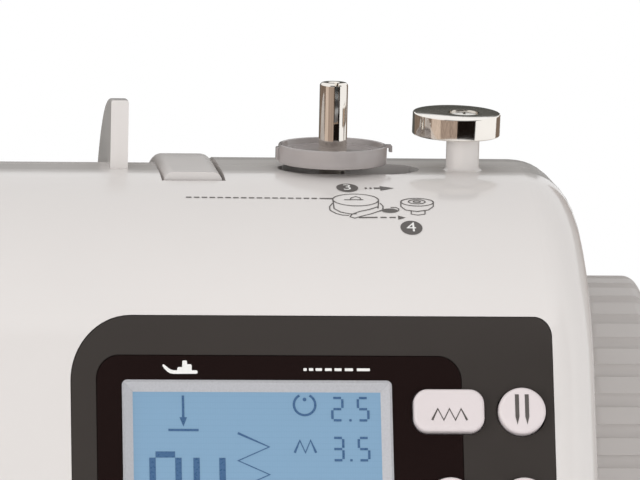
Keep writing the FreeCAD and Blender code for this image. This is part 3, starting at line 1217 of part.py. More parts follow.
def drive_parts():
    """Handwheel, shafts with their pulleys, motor and belts."""
    main = vec(0, MAIN_SHAFT_Y, MAIN_SHAFT_Z)
    lower = vec(0, LOWER_SHAFT_Y, LOWER_SHAFT_Z)
    motor_axis = vec(0, MOTOR_Y, MOTOR_Z)
    wheel_left = BODY_RIGHT + HANDWHEEL_GAP
    wheel_start = main + vec(wheel_left, 0, 0)
    wheel = rod(HANDWHEEL_RADIUS, HANDWHEEL_WIDTH, wheel_start, X_AXIS)
    wheel = wheel.makeFillet(HANDWHEEL_EDGE, [e for e in wheel.Edges if e.BoundBox.XLength < TINY])
    wheel = wheel.cut(rod(MAIN_SHAFT_RADIUS + RUNNING, HANDWHEEL_WIDTH - WALL, wheel_start, X_AXIS))
    groove_circle = HANDWHEEL_RADIUS + GRIP_GROOVE_OUT
    for i in range(HANDWHEEL_GRIPS):
        place = polar(MAIN_SHAFT_Y, MAIN_SHAFT_Z, groove_circle, i * 360 / HANDWHEEL_GRIPS)
        groove = rod(GRIP_GROOVE_RADIUS, HANDWHEEL_WIDTH, place + vec(wheel_left, 0, 0), X_AXIS)
        wheel = wheel.cut(groove)
    crank_left = CRANK_RIGHT - CRANK_THICK
    shaft_right = wheel_left + HANDWHEEL_WIDTH - WALL - SLIP
    pin = main + vec(crank_left - CRANK_PIN_LENGTH, 0, CRANK_THROW)
    shaft = fuse([
        rod(MAIN_SHAFT_RADIUS, shaft_right - crank_left, main + vec(crank_left, 0, 0), X_AXIS),
        rod(CRANK_RADIUS, CRANK_THICK, main + vec(crank_left, 0, 0), X_AXIS),
        rod(PIVOT_PIN_RADIUS, CRANK_PIN_LENGTH, pin, X_AXIS),
        rod(PULLEY_RADIUS, PULLEY_WIDTH, main + vec(PULLEY_LEFT, 0, 0), X_AXIS),
        rod(DRIVEN_PULLEY_RADIUS, PULLEY_WIDTH, main + vec(DRIVEN_LEFT, 0, 0), X_AXIS),
    ])
    gear_left = NEEDLE_X - LOWER_GEAR_RADIUS / 2
    pulley_right = PULLEY_LEFT + PULLEY_WIDTH
    lower_shaft = fuse([
        rod(LOWER_SHAFT_RADIUS, pulley_right - gear_left, lower + vec(gear_left, 0, 0), X_AXIS),
        rod(LOWER_GEAR_RADIUS, LOWER_GEAR_RADIUS, lower + vec(gear_left, 0, 0), X_AXIS),
        rod(PULLEY_RADIUS, PULLEY_WIDTH, lower + vec(PULLEY_LEFT, 0, 0), X_AXIS),
    ])
    motor_right = PILLAR_RIGHT + MOTOR_LENGTH
    rotor_left = motor_right - MOTOR_RADIUS
    can = rod(MOTOR_RADIUS, MOTOR_LENGTH, motor_axis + vec(PILLAR_RIGHT, 0, 0), X_AXIS)
    spindle_radius = MOTOR_PULLEY_RADIUS / 2
    bore_start = motor_axis + vec(rotor_left - SLIP, 0, 0)
    can = can.cut(rod(spindle_radius + RUNNING, MOTOR_RADIUS + SLIP, bore_start, X_AXIS))
    rotor_length = DRIVEN_LEFT + PULLEY_WIDTH - rotor_left
    rotor = fuse([
        rod(spindle_radius, rotor_length, motor_axis + vec(rotor_left, 0, 0), X_AXIS),
        rod(MOTOR_PULLEY_RADIUS, PULLEY_WIDTH, motor_axis + vec(DRIVEN_LEFT, 0, 0), X_AXIS),
    ])
    belts = [
        belt(lower, PULLEY_RADIUS, main, PULLEY_RADIUS, PULLEY_LEFT, PULLEY_WIDTH),
        belt(motor_axis, MOTOR_PULLEY_RADIUS, main, DRIVEN_PULLEY_RADIUS, DRIVEN_LEFT, PULLEY_WIDTH),
    ]
    return {
        "handwheel": wheel,
        "main_shaft": shaft,
        "lower_shaft": lower_shaft,
        "motor": can,
        "motor_rotor": rotor,
        "drive_belts": Part.makeCompound(belts),
    }


def needle_parts():
    """Needle bar, the clamp at its foot, and the needle."""
    axis = vec(NEEDLE_X, NEEDLE_Y, 0)
    bar = rod(NEEDLE_BAR_RADIUS, NEEDLE_BAR_TOP - NEEDLE_BAR_FOOT, axis + vec(0, 0, NEEDLE_BAR_FOOT))
    clamp_foot = NEEDLE_BAR_FOOT - CLAMP_HEIGHT
    clamp = rod(CLAMP_RADIUS, CLAMP_HEIGHT, axis + vec(0, 0, clamp_foot))
    screw_start = axis + vec(CLAMP_RADIUS - CLAMP_SCREW_SINK, 0, clamp_foot + CLAMP_HEIGHT / 2)
    screw = rod(CLAMP_SCREW_RADIUS, CLAMP_SCREW_LENGTH, screw_start, X_AXIS)
    point = BED_TOP + NEEDLE_POINT_ABOVE_BED
    neck = point + NEEDLE_POINT_LENGTH
    needle = fuse([
        rod(NEEDLE_RADIUS, clamp_foot - neck, axis + vec(0, 0, neck)),
        Part.makeCone(NEEDLE_RADIUS / 4, NEEDLE_RADIUS, NEEDLE_POINT_LENGTH, axis + vec(0, 0, point)),
    ])
    return {"needle_bar": bar, "needle_clamp": fuse([clamp, screw]), "needle": needle}


def presser_parts():
    """Presser bar with its shank, the foot that tilts on it, and the lifter; the foot is drawn raised."""
    axis = vec(NEEDLE_X, PRESSER_Y, 0)
    sole = BED_TOP + FOOT_REST_GAP + PRESSER_LIFT
    pivot_z = sole + FOOT_PIVOT_RISE
    lug_radius = SHANK_HALF_Y
    shank_foot = pivot_z - lug_radius + SLIP
    shank_top = sole + SHANK_TOP_RISE
    shank = block(
        NEEDLE_X - SHANK_HALF_X, NEEDLE_X + SHANK_HALF_X,
        PRESSER_Y - SHANK_HALF_Y, PRESSER_Y + SHANK_HALF_Y, shank_foot, shank_top,
    )
    bar = rod(PRESSER_BAR_RADIUS, PRESSER_BAR_TOP - shank_top, axis + vec(0, 0, shank_top))
    reach = SHANK_HALF_X + SLIP + FOOT_LUG_THICK
    pin_start = axis + vec(-reach, 0, pivot_z)
    shank = shank.cut(rod(FOOT_PIN_RADIUS + RUNNING, 2 * reach, pin_start, X_AXIS))
    front = NEEDLE_Y - FOOT_FRONT
    levels = (sole, sole + FOOT_SOLE)
    plate = block(
        NEEDLE_X - FOOT_HALF_WIDTH, NEEDLE_X + FOOT_HALF_WIDTH, front, PRESSER_Y + FOOT_BACK, *levels,
    )
    toe_slot = block(
        NEEDLE_X - FOOT_SLOT_HALF, NEEDLE_X + FOOT_SLOT_HALF,
        NEEDLE_Y - FOOT_SLOT_HALF, NEEDLE_Y + FOOT_SLOT_HALF, *levels,
    )
    split = block(NEEDLE_X - FOOT_SPLIT_HALF, NEEDLE_X + FOOT_SPLIT_HALF, front, NEEDLE_Y, *levels)
    lugs = []
    for x in (-reach, SHANK_HALF_X + SLIP):
        low = vec(NEEDLE_X + x, PRESSER_Y - lug_radius, sole)
        lugs.append(Part.makeBox(FOOT_LUG_THICK, 2 * lug_radius, FOOT_PIVOT_RISE, low))
        lugs.append(rod(lug_radius, FOOT_LUG_THICK, axis + vec(x, 0, pivot_z), X_AXIS))
    pin = rod(FOOT_PIN_RADIUS, 2 * reach, pin_start, X_AXIS)
    foot = fuse([plate] + lugs + [pin]).cut([toe_slot, split])
    hub_y = HEAD_PLATE_Y1 + SLIP
    hub_start = vec(NEEDLE_X, hub_y, LIFTER_Z)
    tip = NEEDLE_X + LIFTER_LENGTH
    levels = (LIFTER_Z - LIFTER_HUB_RADIUS / 2, LIFTER_Z + LIFTER_HUB_RADIUS / 2)
    arm = block(NEEDLE_X, tip, hub_y, hub_y + LIFTER_WIDTH, *levels)
    paddle = block(tip - LIFTER_WIDTH, tip, hub_y, hub_y + 2 * LIFTER_WIDTH, *levels)
    lever = fuse([rod(LIFTER_HUB_RADIUS, LIFTER_WIDTH, hub_start, Y_AXIS), arm, paddle])
    lever.rotate(hub_start, Y_AXIS, -LIFTER_REST)
    lever = lever.cut(rod(LIFTER_PIN_RADIUS + RUNNING, LIFTER_WIDTH, hub_start, Y_AXIS))
    return {"presser_bar": fuse([shank, bar]), "presser_foot": foot, "presser_lifter": lever}


def thread_parts():
    """Take-up lever, tension dial and the guides on top of the arm."""
    pivot = vec(TAKE_UP_X, TAKE_UP_PIVOT_Y, TAKE_UP_PIVOT_Z)
    hub_start = pivot - vec(TAKE_UP_THICK, 0, 0)
    hub = rod(TAKE_UP_HUB_RADIUS, 2 * TAKE_UP_THICK, hub_start, X_AXIS)
    tip = pivot - vec(TAKE_UP_THICK / 2, TAKE_UP_LENGTH, 0)
    arm = Part.makeBox(TAKE_UP_THICK, TAKE_UP_LENGTH, 2 * TAKE_UP_HALF, tip - vec(0, 0, TAKE_UP_HALF))
    lever = fuse([hub, arm, rod(TAKE_UP_HALF, TAKE_UP_THICK, tip, X_AXIS)])
    lever = lever.cut(rod(TAKE_UP_EYE, TAKE_UP_THICK, tip, X_AXIS))
    lever = lever.cut(rod(PIVOT_PIN_RADIUS + RUNNING, 2 * TAKE_UP_THICK, hub_start, X_AXIS))
    lever.rotate(pivot, X_AXIS, -TAKE_UP_REST)
    dial_start = DIAL_CENTRE + vec(DIAL_LEFT, 0, 0)
    dial = rod(DIAL_RADIUS, DIAL_WIDTH, dial_start, X_AXIS)
    for i in range(DIAL_GROOVES):
        place = polar(DIAL_CENTRE_Y, DIAL_CENTRE_Z, DIAL_RADIUS, i * 360 / DIAL_GROOVES)
        dial = dial.cut(rod(DIAL_GROOVE_RADIUS, DIAL_WIDTH, place + vec(DIAL_LEFT, 0, 0), X_AXIS))
    dial = dial.cut(rod(PIVOT_PIN_RADIUS + RUNNING, DIAL_WIDTH, dial_start, X_AXIS))
    guides = []
    depth = (CROWN_Y, CROWN_Y + GUIDE_DEPTH)
    top = BODY_TOP + GUIDE_HEIGHT
    for x in (TAKE_UP_X + 2 * TAKE_UP_SLOT, HANDLE_LEFT + 2 * HANDLE_WIDTH):
        foot = block(x, x + GUIDE_LENGTH, *depth, BODY_TOP, BODY_TOP + GUIDE_THICK)
        stem = block(x, x + GUIDE_STEM, *depth, BODY_TOP, top)
        lip = block(x, x + GUIDE_LIP, *depth, top - GUIDE_THICK, top)
        guides.append(fuse([foot, stem, lip]))
    return {"take_up_lever": lever, "tension_dial": dial, "thread_guides": Part.makeCompound(guides)}


def winder_parts():
    """Bobbin winder: swinging arm, spindle, thread-cutter dish and tyre."""
    axis = vec(WINDER_X, WINDER_Y, 0)
    plate_foot = BODY_TOP - WINDER_PLATE_SINK
    pivot = vec(WINDER_X, WINDER_PIVOT_Y, plate_foot)
    arm = slot(WINDER_ARM_HALF, pivot, axis + vec(0, 0, plate_foot), WINDER_PLATE_THICK)
    journal = SPINDLE_RADIUS - SPINDLE_STEP
    arm = arm.cut([
        rod(PIVOT_PIN_RADIUS + RUNNING, WINDER_PLATE_THICK, pivot),
        rod(journal + RUNNING, WINDER_PLATE_THICK, axis + vec(0, 0, plate_foot)),
    ])
    seat = DISH_TOP - DISH_RECESS
    top = BODY_TOP + SPINDLE_RISE
    post = rod(SPINDLE_RADIUS, SPINDLE_RISE - seat, axis + vec(0, 0, BODY_TOP + seat))
    post = post.makeFillet(SPINDLE_EDGE, [e for e in post.Edges if e.BoundBox.ZMin > top - TINY])
    spindle = fuse([post, rod(journal, SPINDLE_SINK + seat, axis + vec(0, 0, BODY_TOP - SPINDLE_SINK))])
    dish_foot = BODY_TOP + DISH_FOOT
    height = DISH_TOP - DISH_FOOT
    dish = rod(DISH_RADIUS, height, axis + vec(0, 0, dish_foot))
    dish = dish.cut(rod(DISH_RADIUS - DISH_RIM, DISH_RECESS, axis + vec(0, 0, BODY_TOP + seat)))
    tabs = []
    for side in (-1, 1):
        middle = WINDER_X + side * DISH_RADIUS
        tab = block(
            middle - DISH_TAB, middle + DISH_TAB, WINDER_Y - DISH_TAB_HALF, WINDER_Y + DISH_TAB_HALF,
            dish_foot + height / 2, dish_foot + height,
        )
        tabs.append(tab)
    bore = rod(journal + RUNNING, height, axis + vec(0, 0, dish_foot))
    dish = fuse([dish] + tabs).cut(bore)
    tyre_foot = BODY_TOP - TYRE_TOP_SINK - TYRE_HEIGHT
    tyre = tube(WINDER_TYRE_RADIUS, journal + RUNNING, TYRE_HEIGHT, axis + vec(0, 0, tyre_foot))
    rims = [e for e in tyre.Edges if e.BoundBox.XLength > 2 * WINDER_TYRE_RADIUS - TINY]
    return {
        "winder_arm": arm,
        "winder_spindle": spindle,
        "winder_dish": dish,
        "winder_tyre": tyre.makeFillet(TYRE_EDGE, rims),
    }


def stopper_parts():
    """The eccentric disc that stops a full bobbin, and the cross-head screw that clamps it."""
    seat = vec(STOPPER_X, WINDER_Y, BODY_TOP + STOPPER_FOOT)
    disc = rod(STOPPER_RADIUS, STOPPER_THICK, seat - vec(STOPPER_OFFSET, 0, 0))
    disc = disc.makeFillet(STOPPER_EDGE, [e for e in disc.Edges if e.BoundBox.ZLength < TINY])
    stud = STOPPER_POST_RADIUS - STOPPER_STEP
    recess_foot = seat + vec(0, 0, STOPPER_THICK - STOPPER_RECESS_DEPTH)
    disc = disc.cut([
        rod(stud + RUNNING, STOPPER_THICK, seat),
        rod(STOPPER_POST_RADIUS, STOPPER_RECESS_DEPTH, recess_foot),
    ])
    screw = rod(stud - SLIP, STOPPER_RECESS_DEPTH - SLIP, recess_foot)
    cross = STOPPER_RECESS_DEPTH / 2
    for dx, dy in ((CROSS_REACH, CROSS_HALF), (CROSS_HALF, CROSS_REACH)):
        low = recess_foot + vec(-dx, -dy, STOPPER_RECESS_DEPTH - SLIP - cross)
        screw = screw.cut(Part.makeBox(2 * dx, 2 * dy, cross, low))
    return {"bobbin_stopper": disc, "stopper_screw": screw}


def carry_handle():
    """Folding handle: two arms, a grip across the back and the stubs it turns on."""
    low = HANDLE_PROUD - HANDLE_THICK
    pieces = []
    for x in (HANDLE_LEFT, HANDLE_RIGHT):
        lid = line(vec(0, LIP_Y, BODY_TOP + HANDLE_PROUD), vec(0, BACK_Y, BODY_TOP + HANDLE_PROUD))
        outer = arc(BACK_Y, BACK_Z, BACK_RADIUS + HANDLE_PROUD, 0, GRIP_END)
        inner = arc(BACK_Y, BACK_Z, BACK_RADIUS + low, GRIP_END, 0)
        under = line(vec(0, BACK_Y, BODY_TOP + low), vec(0, LIP_Y, BODY_TOP + low))
        arm = across(joined([lid, outer, inner, under]), x, HANDLE_WIDTH)
        rims = []
        for edge in arm.Edges:
            top = edge.BoundBox.ZMax > BODY_TOP + HANDLE_PROUD - TINY
            if top and edge.BoundBox.XLength < TINY and edge.BoundBox.YLength > HANDLE_THICK:
                rims.append(edge)
        pieces.append(arm.makeFillet(HANDLE_EDGE_RADIUS, rims))
        length = HANDLE_WIDTH + 2 * HANDLE_GAP + 2 * WALL - 2 * SLIP
        stub = vec(x - length / 2, PIVOT_Y, PIVOT_Z)
        pieces.append(rod(HANDLE_STUB_RADIUS, length, stub, X_AXIS))
    middle = (HANDLE_LEFT + HANDLE_RIGHT) / 2
    span = HANDLE_RIGHT - HANDLE_LEFT + HANDLE_WIDTH - 2 * HANDLE_EDGE_RADIUS
    pieces.append(across(handle_band(GRIP_START, GRIP_END, low, HANDLE_PROUD), middle, span))
    return fuse(pieces)


def spool_parts():
    """Upright spool plate with its hinge lugs, the spool pin and the spool cap."""
    front = CROWN_Y + SPOOL_PLATE_FRONT
    right = SPOOL_PLATE_LEFT + SPOOL_PLATE_THICK
    floor = BODY_TOP - WELL_DEPTH
    centre = vec(SPOOL_PLATE_LEFT, front + SPOOL_PLATE_NOSE, BODY_TOP - SPOOL_PLATE_SINK)
    plate = rod(SPOOL_PLATE_RADIUS, SPOOL_PLATE_THICK, centre, X_AXIS)
    plate = plate.makeFillet(SPOOL_PLATE_EDGE, [e for e in plate.Edges if e.BoundBox.XLength < TINY])
    edge = (SPOOL_PLATE_LEFT, right, front)
    plate = plate.common(block(*edge, CROWN_Y + WELL_BACK, floor, BODY_TOP + SPOOL_PLATE_RADIUS))
    plate = plate.cut(block(*edge, CROWN_Y + WELL_FRONT + SLIP, floor, BODY_TOP))
    hub_y = CROWN_Y + SPOOL_PIN_BEHIND
    hub_z = BODY_TOP - SPOOL_PIN_SINK
    hub_x = SPOOL_PLATE_LEFT - HINGE_HUB_RADIUS - SPOOL_HUB_GAP
    lugs = []
    for y in (hub_y - LUG_HALF, hub_y + LUG_HALF - LUG_THICK):
        lug = block(
            hub_x - HINGE_HUB_RADIUS, SPOOL_PLATE_LEFT, y, y + LUG_THICK,
            hub_z - HINGE_HUB_RADIUS, hub_z + HINGE_HUB_RADIUS,
        )
        lugs.append(lug)
    pin = rod(HINGE_PIN_RADIUS, 2 * LUG_HALF, vec(hub_x, hub_y - LUG_HALF, hub_z), Y_AXIS)
    half = LUG_HALF - LUG_THICK - SLIP
    hub_start = vec(hub_x, hub_y - half, hub_z)
    hub = rod(HINGE_HUB_RADIUS, 2 * half, hub_start, Y_AXIS)
    rail = rod(SPOOL_PIN_RADIUS, hub_x - SPOOL_PIN_TIP, vec(SPOOL_PIN_TIP, hub_y, hub_z), X_AXIS)
    spool_pin = fuse([hub, rail]).cut(rod(HINGE_PIN_RADIUS + RUNNING, 2 * half, hub_start, Y_AXIS))
    cap_start = vec(CAP_LEFT, hub_y, hub_z)
    cap_length = CAP_HUB_LENGTH + CAP_THICK
    cap = fuse([
        rod(SPOOL_CAP_RADIUS, CAP_THICK, cap_start, X_AXIS),
        rod(CAP_HUB_RADIUS, cap_length, cap_start, X_AXIS),
    ])
    cap = cap.cut(rod(SPOOL_PIN_RADIUS + RUNNING, cap_length, cap_start, X_AXIS))
    return {"spool_plate": fuse([plate] + lugs + [pin]), "spool_pin": spool_pin, "spool_cap": cap}


def control_parts():
    """Keys, speed slider and power switch."""
    parts = {"wide_key": wide_key()}
    for name, (x, slope, radius, flange) in ROUND_KEYS.items():
        parts[name] = round_key(radius, x, slope, flange)
    knob = pad(SLIDER_WIDTH, SLIDER_KNOB_HEIGHT, SLIDER_CORNER, SLIP, SLIP + SLIDER_KNOB_PROUD)
    stem = pad(SLIDER_STEM, SLIDER_SLOT_HEIGHT - 2 * SLIP, SLIP, -KEY_REACH, SLIP)
    keeper = pad(SLIDER_WIDTH, SLIDER_KNOB_HEIGHT, SLIDER_CORNER, -KEY_REACH, -WALL - SLIP)
    parts["speed_slider"] = on_facia(fuse([knob, stem, keeper]), SLIDER_LEFT, HEAD_KEY_SLOPE)
    reach = SWITCH_HALF_HEIGHT
    nose = SWITCH_DEPTH + SWITCH_NOSE
    edge = SWITCH_DEPTH - SWITCH_EDGE
    heel = -SWITCH_DEPTH / 2
    corners = [
        vec(heel, 0, -reach / 2), vec(edge, 0, -reach), vec(nose, 0, 0),
        vec(edge, 0, reach), vec(heel, 0, reach / 2),
    ]
    rocker = rounded_face(corners, [0, 0, SWITCH_ROUND, 0, 0]).extrude(vec(0, SWITCH_Y1 - SWITCH_Y0, 0))
    pivot = vec(SWITCH_X, SWITCH_Y0, SWITCH_Z)
    rocker.Placement = FreeCAD.Placement(pivot, FreeCAD.Rotation(Y_AXIS, SWITCH_THROW))
    bore = rod(SWITCH_AXLE_RADIUS + RUNNING, SWITCH_Y1 - SWITCH_Y0, pivot, Y_AXIS)
    parts["power_switch"] = rocker.cut(bore)
    return parts


def switch_cradle():
    """Cheeks and axle that carry the power switch, standing on the power inlet."""
    near = SWITCH_Y0 - SLIP - SWITCH_CHEEK
    far = SWITCH_Y1 + SLIP + SWITCH_CHEEK
    x0 = SWITCH_X - SWITCH_DEPTH
    x1 = BODY_RIGHT - WALL - SLIP
    top = SWITCH_Z + SWITCH_CHEEK_RISE
    pieces = [rod(SWITCH_AXLE_RADIUS, far - near, vec(SWITCH_X, near, SWITCH_Z), Y_AXIS)]
    for y in (near, far - SWITCH_CHEEK):
        pieces.append(block(x0, x1, y, y + SWITCH_CHEEK, INLET_Z1 - 2 * SLIP, top))
    return pieces


def fitted_parts():
    """Main board, lamp, and the power inlet with the switch's cradle."""
    board = block(PILLAR_RIGHT, BOARD_RIGHT, PILLAR_FRONT, PILLAR_FRONT + BOARD_THICK, BOARD_FOOT, BOARD_TOP)
    lamp = rounded_block(
        LAMP_LEFT, LAMP_LEFT + LAMP_WIDTH, LAMP_FRONT, LAMP_FRONT + LAMP_DEPTH,
        ARM_UNDER - LAMP_DROP, ARM_UNDER, [LAMP_CORNER] * 4,
    )
    housing = block(
        BODY_RIGHT - INLET_DEPTH, BODY_RIGHT, INLET_Y0 + SLIP, INLET_Y1 - SLIP,
        INLET_Z0 + SLIP, INLET_Z1 - SLIP,
    )
    mouth = BODY_RIGHT + INLET_FLANGE_THICK
    flange = block(
        BODY_RIGHT, mouth, INLET_Y0 - INLET_FLANGE, INLET_Y1 + INLET_FLANGE,
        INLET_Z0 - INLET_FLANGE, INLET_Z1 + INLET_FLANGE,
    )
    inlet = fuse([housing, flange])
    middle_y = (INLET_Y0 + INLET_Y1) / 2
    middle_z = (INLET_Z0 + INLET_Z1) / 2
    pins = []
    for side in (-1, 1):
        y = middle_y + side * INLET_PIN_PITCH / 2
        start = vec(mouth - SOCKET_DEPTH, y, middle_z)
        inlet = inlet.cut(rod(INLET_PIN_PITCH / 2 - INLET_RIB, SOCKET_DEPTH, start, X_AXIS))
        pins.append(rod(INLET_PIN_RADIUS, SOCKET_DEPTH - INLET_PIN_SINK, start, X_AXIS))
    return {"main_board": board, "lamp": lamp, "power_inlet": fuse([inlet] + pins + switch_cradle())}


def main():
    os.makedirs("parts", exist_ok=True)
    parts = {"main_frame": main_frame(), "shaft_bushes": shaft_bushes()}
    parts["carry_handle"] = carry_handle()
    parts["extension_table"] = extension_table()
    for group in (
        covers, panel_parts, base_parts, free_arm_parts, feed_parts, hook_parts, drive_parts, needle_parts,
        presser_parts, thread_parts, winder_parts, stopper_parts, spool_parts, control_parts, fitted_parts,
    ):
        parts.update(group())
    for name, shape in parts.items():
        if not shape.isValid():
            raise ValueError(name + " is not a valid shape")
        shape.exportStep("parts/" + name + ".step")
    print(len(parts), "parts")


main()
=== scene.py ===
"""Looks of a household sewing machine, laid out as a Blender add-on.

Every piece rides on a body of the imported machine, in its frame: +Z up, +X to the handwheel, the operator at -Y.
Shapes are written in millimetres and turned to metres where they are placed.
"""
import bmesh
import bpy
import json
import math
from mathutils import Matrix, Vector


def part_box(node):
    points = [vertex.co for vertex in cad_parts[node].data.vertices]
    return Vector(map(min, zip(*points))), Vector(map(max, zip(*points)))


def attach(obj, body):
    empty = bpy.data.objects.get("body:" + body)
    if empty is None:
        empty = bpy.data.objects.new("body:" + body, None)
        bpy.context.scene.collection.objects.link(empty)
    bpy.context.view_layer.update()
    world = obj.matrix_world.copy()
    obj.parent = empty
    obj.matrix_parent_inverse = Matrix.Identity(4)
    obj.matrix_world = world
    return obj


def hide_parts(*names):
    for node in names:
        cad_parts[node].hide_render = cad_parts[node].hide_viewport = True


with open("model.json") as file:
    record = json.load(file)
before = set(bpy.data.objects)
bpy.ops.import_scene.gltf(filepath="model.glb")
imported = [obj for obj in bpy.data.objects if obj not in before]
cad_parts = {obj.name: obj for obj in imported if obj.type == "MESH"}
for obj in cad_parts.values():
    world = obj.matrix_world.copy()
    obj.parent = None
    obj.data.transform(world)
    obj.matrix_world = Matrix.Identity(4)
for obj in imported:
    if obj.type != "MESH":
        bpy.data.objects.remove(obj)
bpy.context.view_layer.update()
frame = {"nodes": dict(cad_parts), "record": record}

bl_info = {
    "name": "Sewing machine looks",
    "version": (1, 0, 0),
    "blender": (4, 5, 0),
    "location": "View3D > Sidebar > Sewing machine",
    "description": "Materials, printed marks and fine pieces of a household sewing machine",
    "category": "Object",
}

MM = 0.001
WHITE = (1.0, 1.0, 1.0, 1.0)
# Faces that meet at a smaller angle, in degrees, are shaded as one surface
SMOOTH = 35.0
# Points closer than this, in metres, are joined
JOIN = 1e-7
# Height of the numerals in Blender's own font at size 1
FONT_HEIGHT = 0.73


# Settings


def linear(code):
    """An sRGB hex code as a linear colour."""
    parts = [int(code[i:i + 2], 16) / 255 for i in (0, 2, 4)]
    return tuple(p / 12.92 if p <= 0.04045 else ((p + 0.055) / 1.055) ** 2.4 for p in parts)


def length(name, description, millimetres):
    return bpy.props.FloatProperty(
        name=name, description=description, default=millimetres * MM, min=0.0, unit="LENGTH", precision=5,
    )


def angle(name, description, degrees):
    return bpy.props.FloatProperty(
        name=name, description=description, default=math.radians(degrees), subtype="ANGLE",
    )


def power(name, description, watts):
    return bpy.props.FloatProperty(name=name, description=description, default=watts, min=0.0, unit="POWER")


def colour(name, description, code):
    return bpy.props.FloatVectorProperty(
        name=name, description=description, default=linear(code), subtype="COLOR", size=3, min=0.0, max=1.0,
    )


class SewingSizes(bpy.types.PropertyGroup):
    crown_radius: length("Crown radius", "Radius of the arm's crown, which the winding diagram is printed on", 55.0)
    crown_top: length("Crown top", "Height of the arm's top over the surface that the machine stands on", 282.0)
    crown_behind: length("Crown behind middle", "How far behind the frame's middle the crown's axis lies", 3.698)
    facia_tilt: angle("Facia tilt", "Angle of the flat facia from the horizontal", 66.0)
    ink_lift: length("Ink lift", "Height of printed ink over the surface under it", 0.05)
    ink_line: length("Ink line", "Width of the thin lines in the printed drawings", 0.26)
    soft_edge: length("Soft edge", "Rounding of the levers', the fin's and the spool cap's edges", 0.4)
    spindle_radius: length("Spindle radius", "Radius of the winder spindle, which bobbins fit on", 3.0)
    spindle_edge: length("Spindle edge", "Rounding at the top of the winder spindle", 0.75)
    slit_width: length("Slit width", "Width of the slit in the winder spindle", 0.9)
    slit_depth: length("Slit depth", "Length of the slit down from the spindle's top", 8.6)
    slit_turn: angle("Slit turn", "Turn of the slit to the right of straight in front", 6.5)
    spring_bow: length("Spring bow", "How far the leaf spring stands out of the spindle", 0.25)
    stopper_thick: length("Stopper thickness", "Height of the bobbin stopper's disc", 4.7)
    stopper_edge: length("Stopper edge", "Rounding of the bobbin stopper's edges", 0.3)
    stopper_nod: angle("Stopper nod", "Lean of the bobbin stopper to the front", 2.4)
    stopper_dip: angle("Stopper dip", "Lean of the bobbin stopper to the right", 0.6)
    dish_radius: length("Dish radius", "Radius of the winder dish", 11.5)
    dish_depth: length("Dish depth", "Depth of the winder dish's floor under its rim", 1.25)
    dish_rim: length("Dish rim", "Thickness of the winder dish's rim", 0.75)
    dial_turn: angle("Dial turn", "Angle round the crown, forwards from its top, to the tension dial's middle", 40.0)
    upper_keys: length("Upper keys", "Distance of the panel's upper keys down the facia", 10.1)
    lower_keys: length("Lower keys", "Distance of the panel's lower keys down the facia", 29.0)
    head_keys: length("Head keys", "Distance of the head's keys and slider down the facia", 44.0)
    key_height: length("Key height", "How far the keys stand out of the facia", 1.8)
    screen_sink: length("Screen sink", "Depth of the display's glass behind the facia", 0.9)
    segment_line: length("Segment line", "Width of the lines that the display shows", 0.5)
    thread_pitch: length("Thread pitch", "Spacing of the bobbin thread, drawn coarser than real thread", 0.45)
    tooth_pitch: length("Tooth pitch", "Spacing of the feed dog's teeth", 1.4)
    tooth_depth: length("Tooth depth", "Depth of the feed dog's teeth", 0.7)


class SewingColours(bpy.types.PropertyGroup):
    shell: colour("Shell", "Covers, table and spool plate", "E3DEDB")
    handle: colour("Handle", "Carry handle", "E1DCD9")
    panel: colour("Panel", "Control panel film", "3B3633")
    window: colour("Window", "Display window", "211716")
    bezel: colour("Bezel", "Frame round the display", "C0C0C4")
    screen: colour("Screen", "Display at rest", "86A9C6")
    segment: colour("Segment", "Marks that the display shows", "46688F")
    key: colour("Key", "Panel and head keys", "E3D9D9")
    start: colour("Start key", "Start and stop key", "62A35E")
    dish: colour("Dish", "Winder dish, dials and levers", "A69F9D")
    wheel: colour("Wheel", "Handwheel", "BDB8B5")
    base: colour("Base", "Base tray", "9C9896")
    chrome: colour("Chrome", "Plated parts", "F2EDE6")
    steel: colour("Steel", "Ground steel parts", "B4B3B0")
    zinc: colour("Zinc", "Stopper screw", "DDDAD5")
    casting: colour("Casting", "Cast frame", "96979A")
    bronze: colour("Bronze", "Shaft bushes", "A5814F")
    rubber: colour("Rubber", "Feet, tyre and belts", "29292B")
    motor: colour("Motor", "Motor case", "202022")
    board: colour("Board", "Circuit board", "22603F")
    black: colour("Black plastic", "Inlet, switch and bobbin holder", "1C1C1E")
    clear: colour("Clear plastic", "Hook cover and bobbin", "EDF2F2")
    lens: colour("Lens", "Lamp lens", "F6F1E4")
    dark_ink: colour("Dark ink", "Drawings on the covers", "5A5552")
    white_ink: colour("White ink", "Marks on the window", "F1EFEC")
    thread: colour("Thread", "Thread on the bobbin", "B8473F")
    floor: colour("Floor", "Floor and backdrop", "F4F4F4")
    black_card: colour("Black card", "Black studio card, seen only in reflections", "17120F")
    grey_card: colour("Grey card", "Grey studio card, seen only in reflections", "565652")
    warm_card: colour("Warm card", "Warm brown studio card, seen only in reflections", "7F7064")
    tan_card: colour("Tan card", "Tan studio card, seen only in reflections", "A9978A")
    pale_card: colour("Pale card", "Pale studio card, seen only in reflections", "D3C1B3")


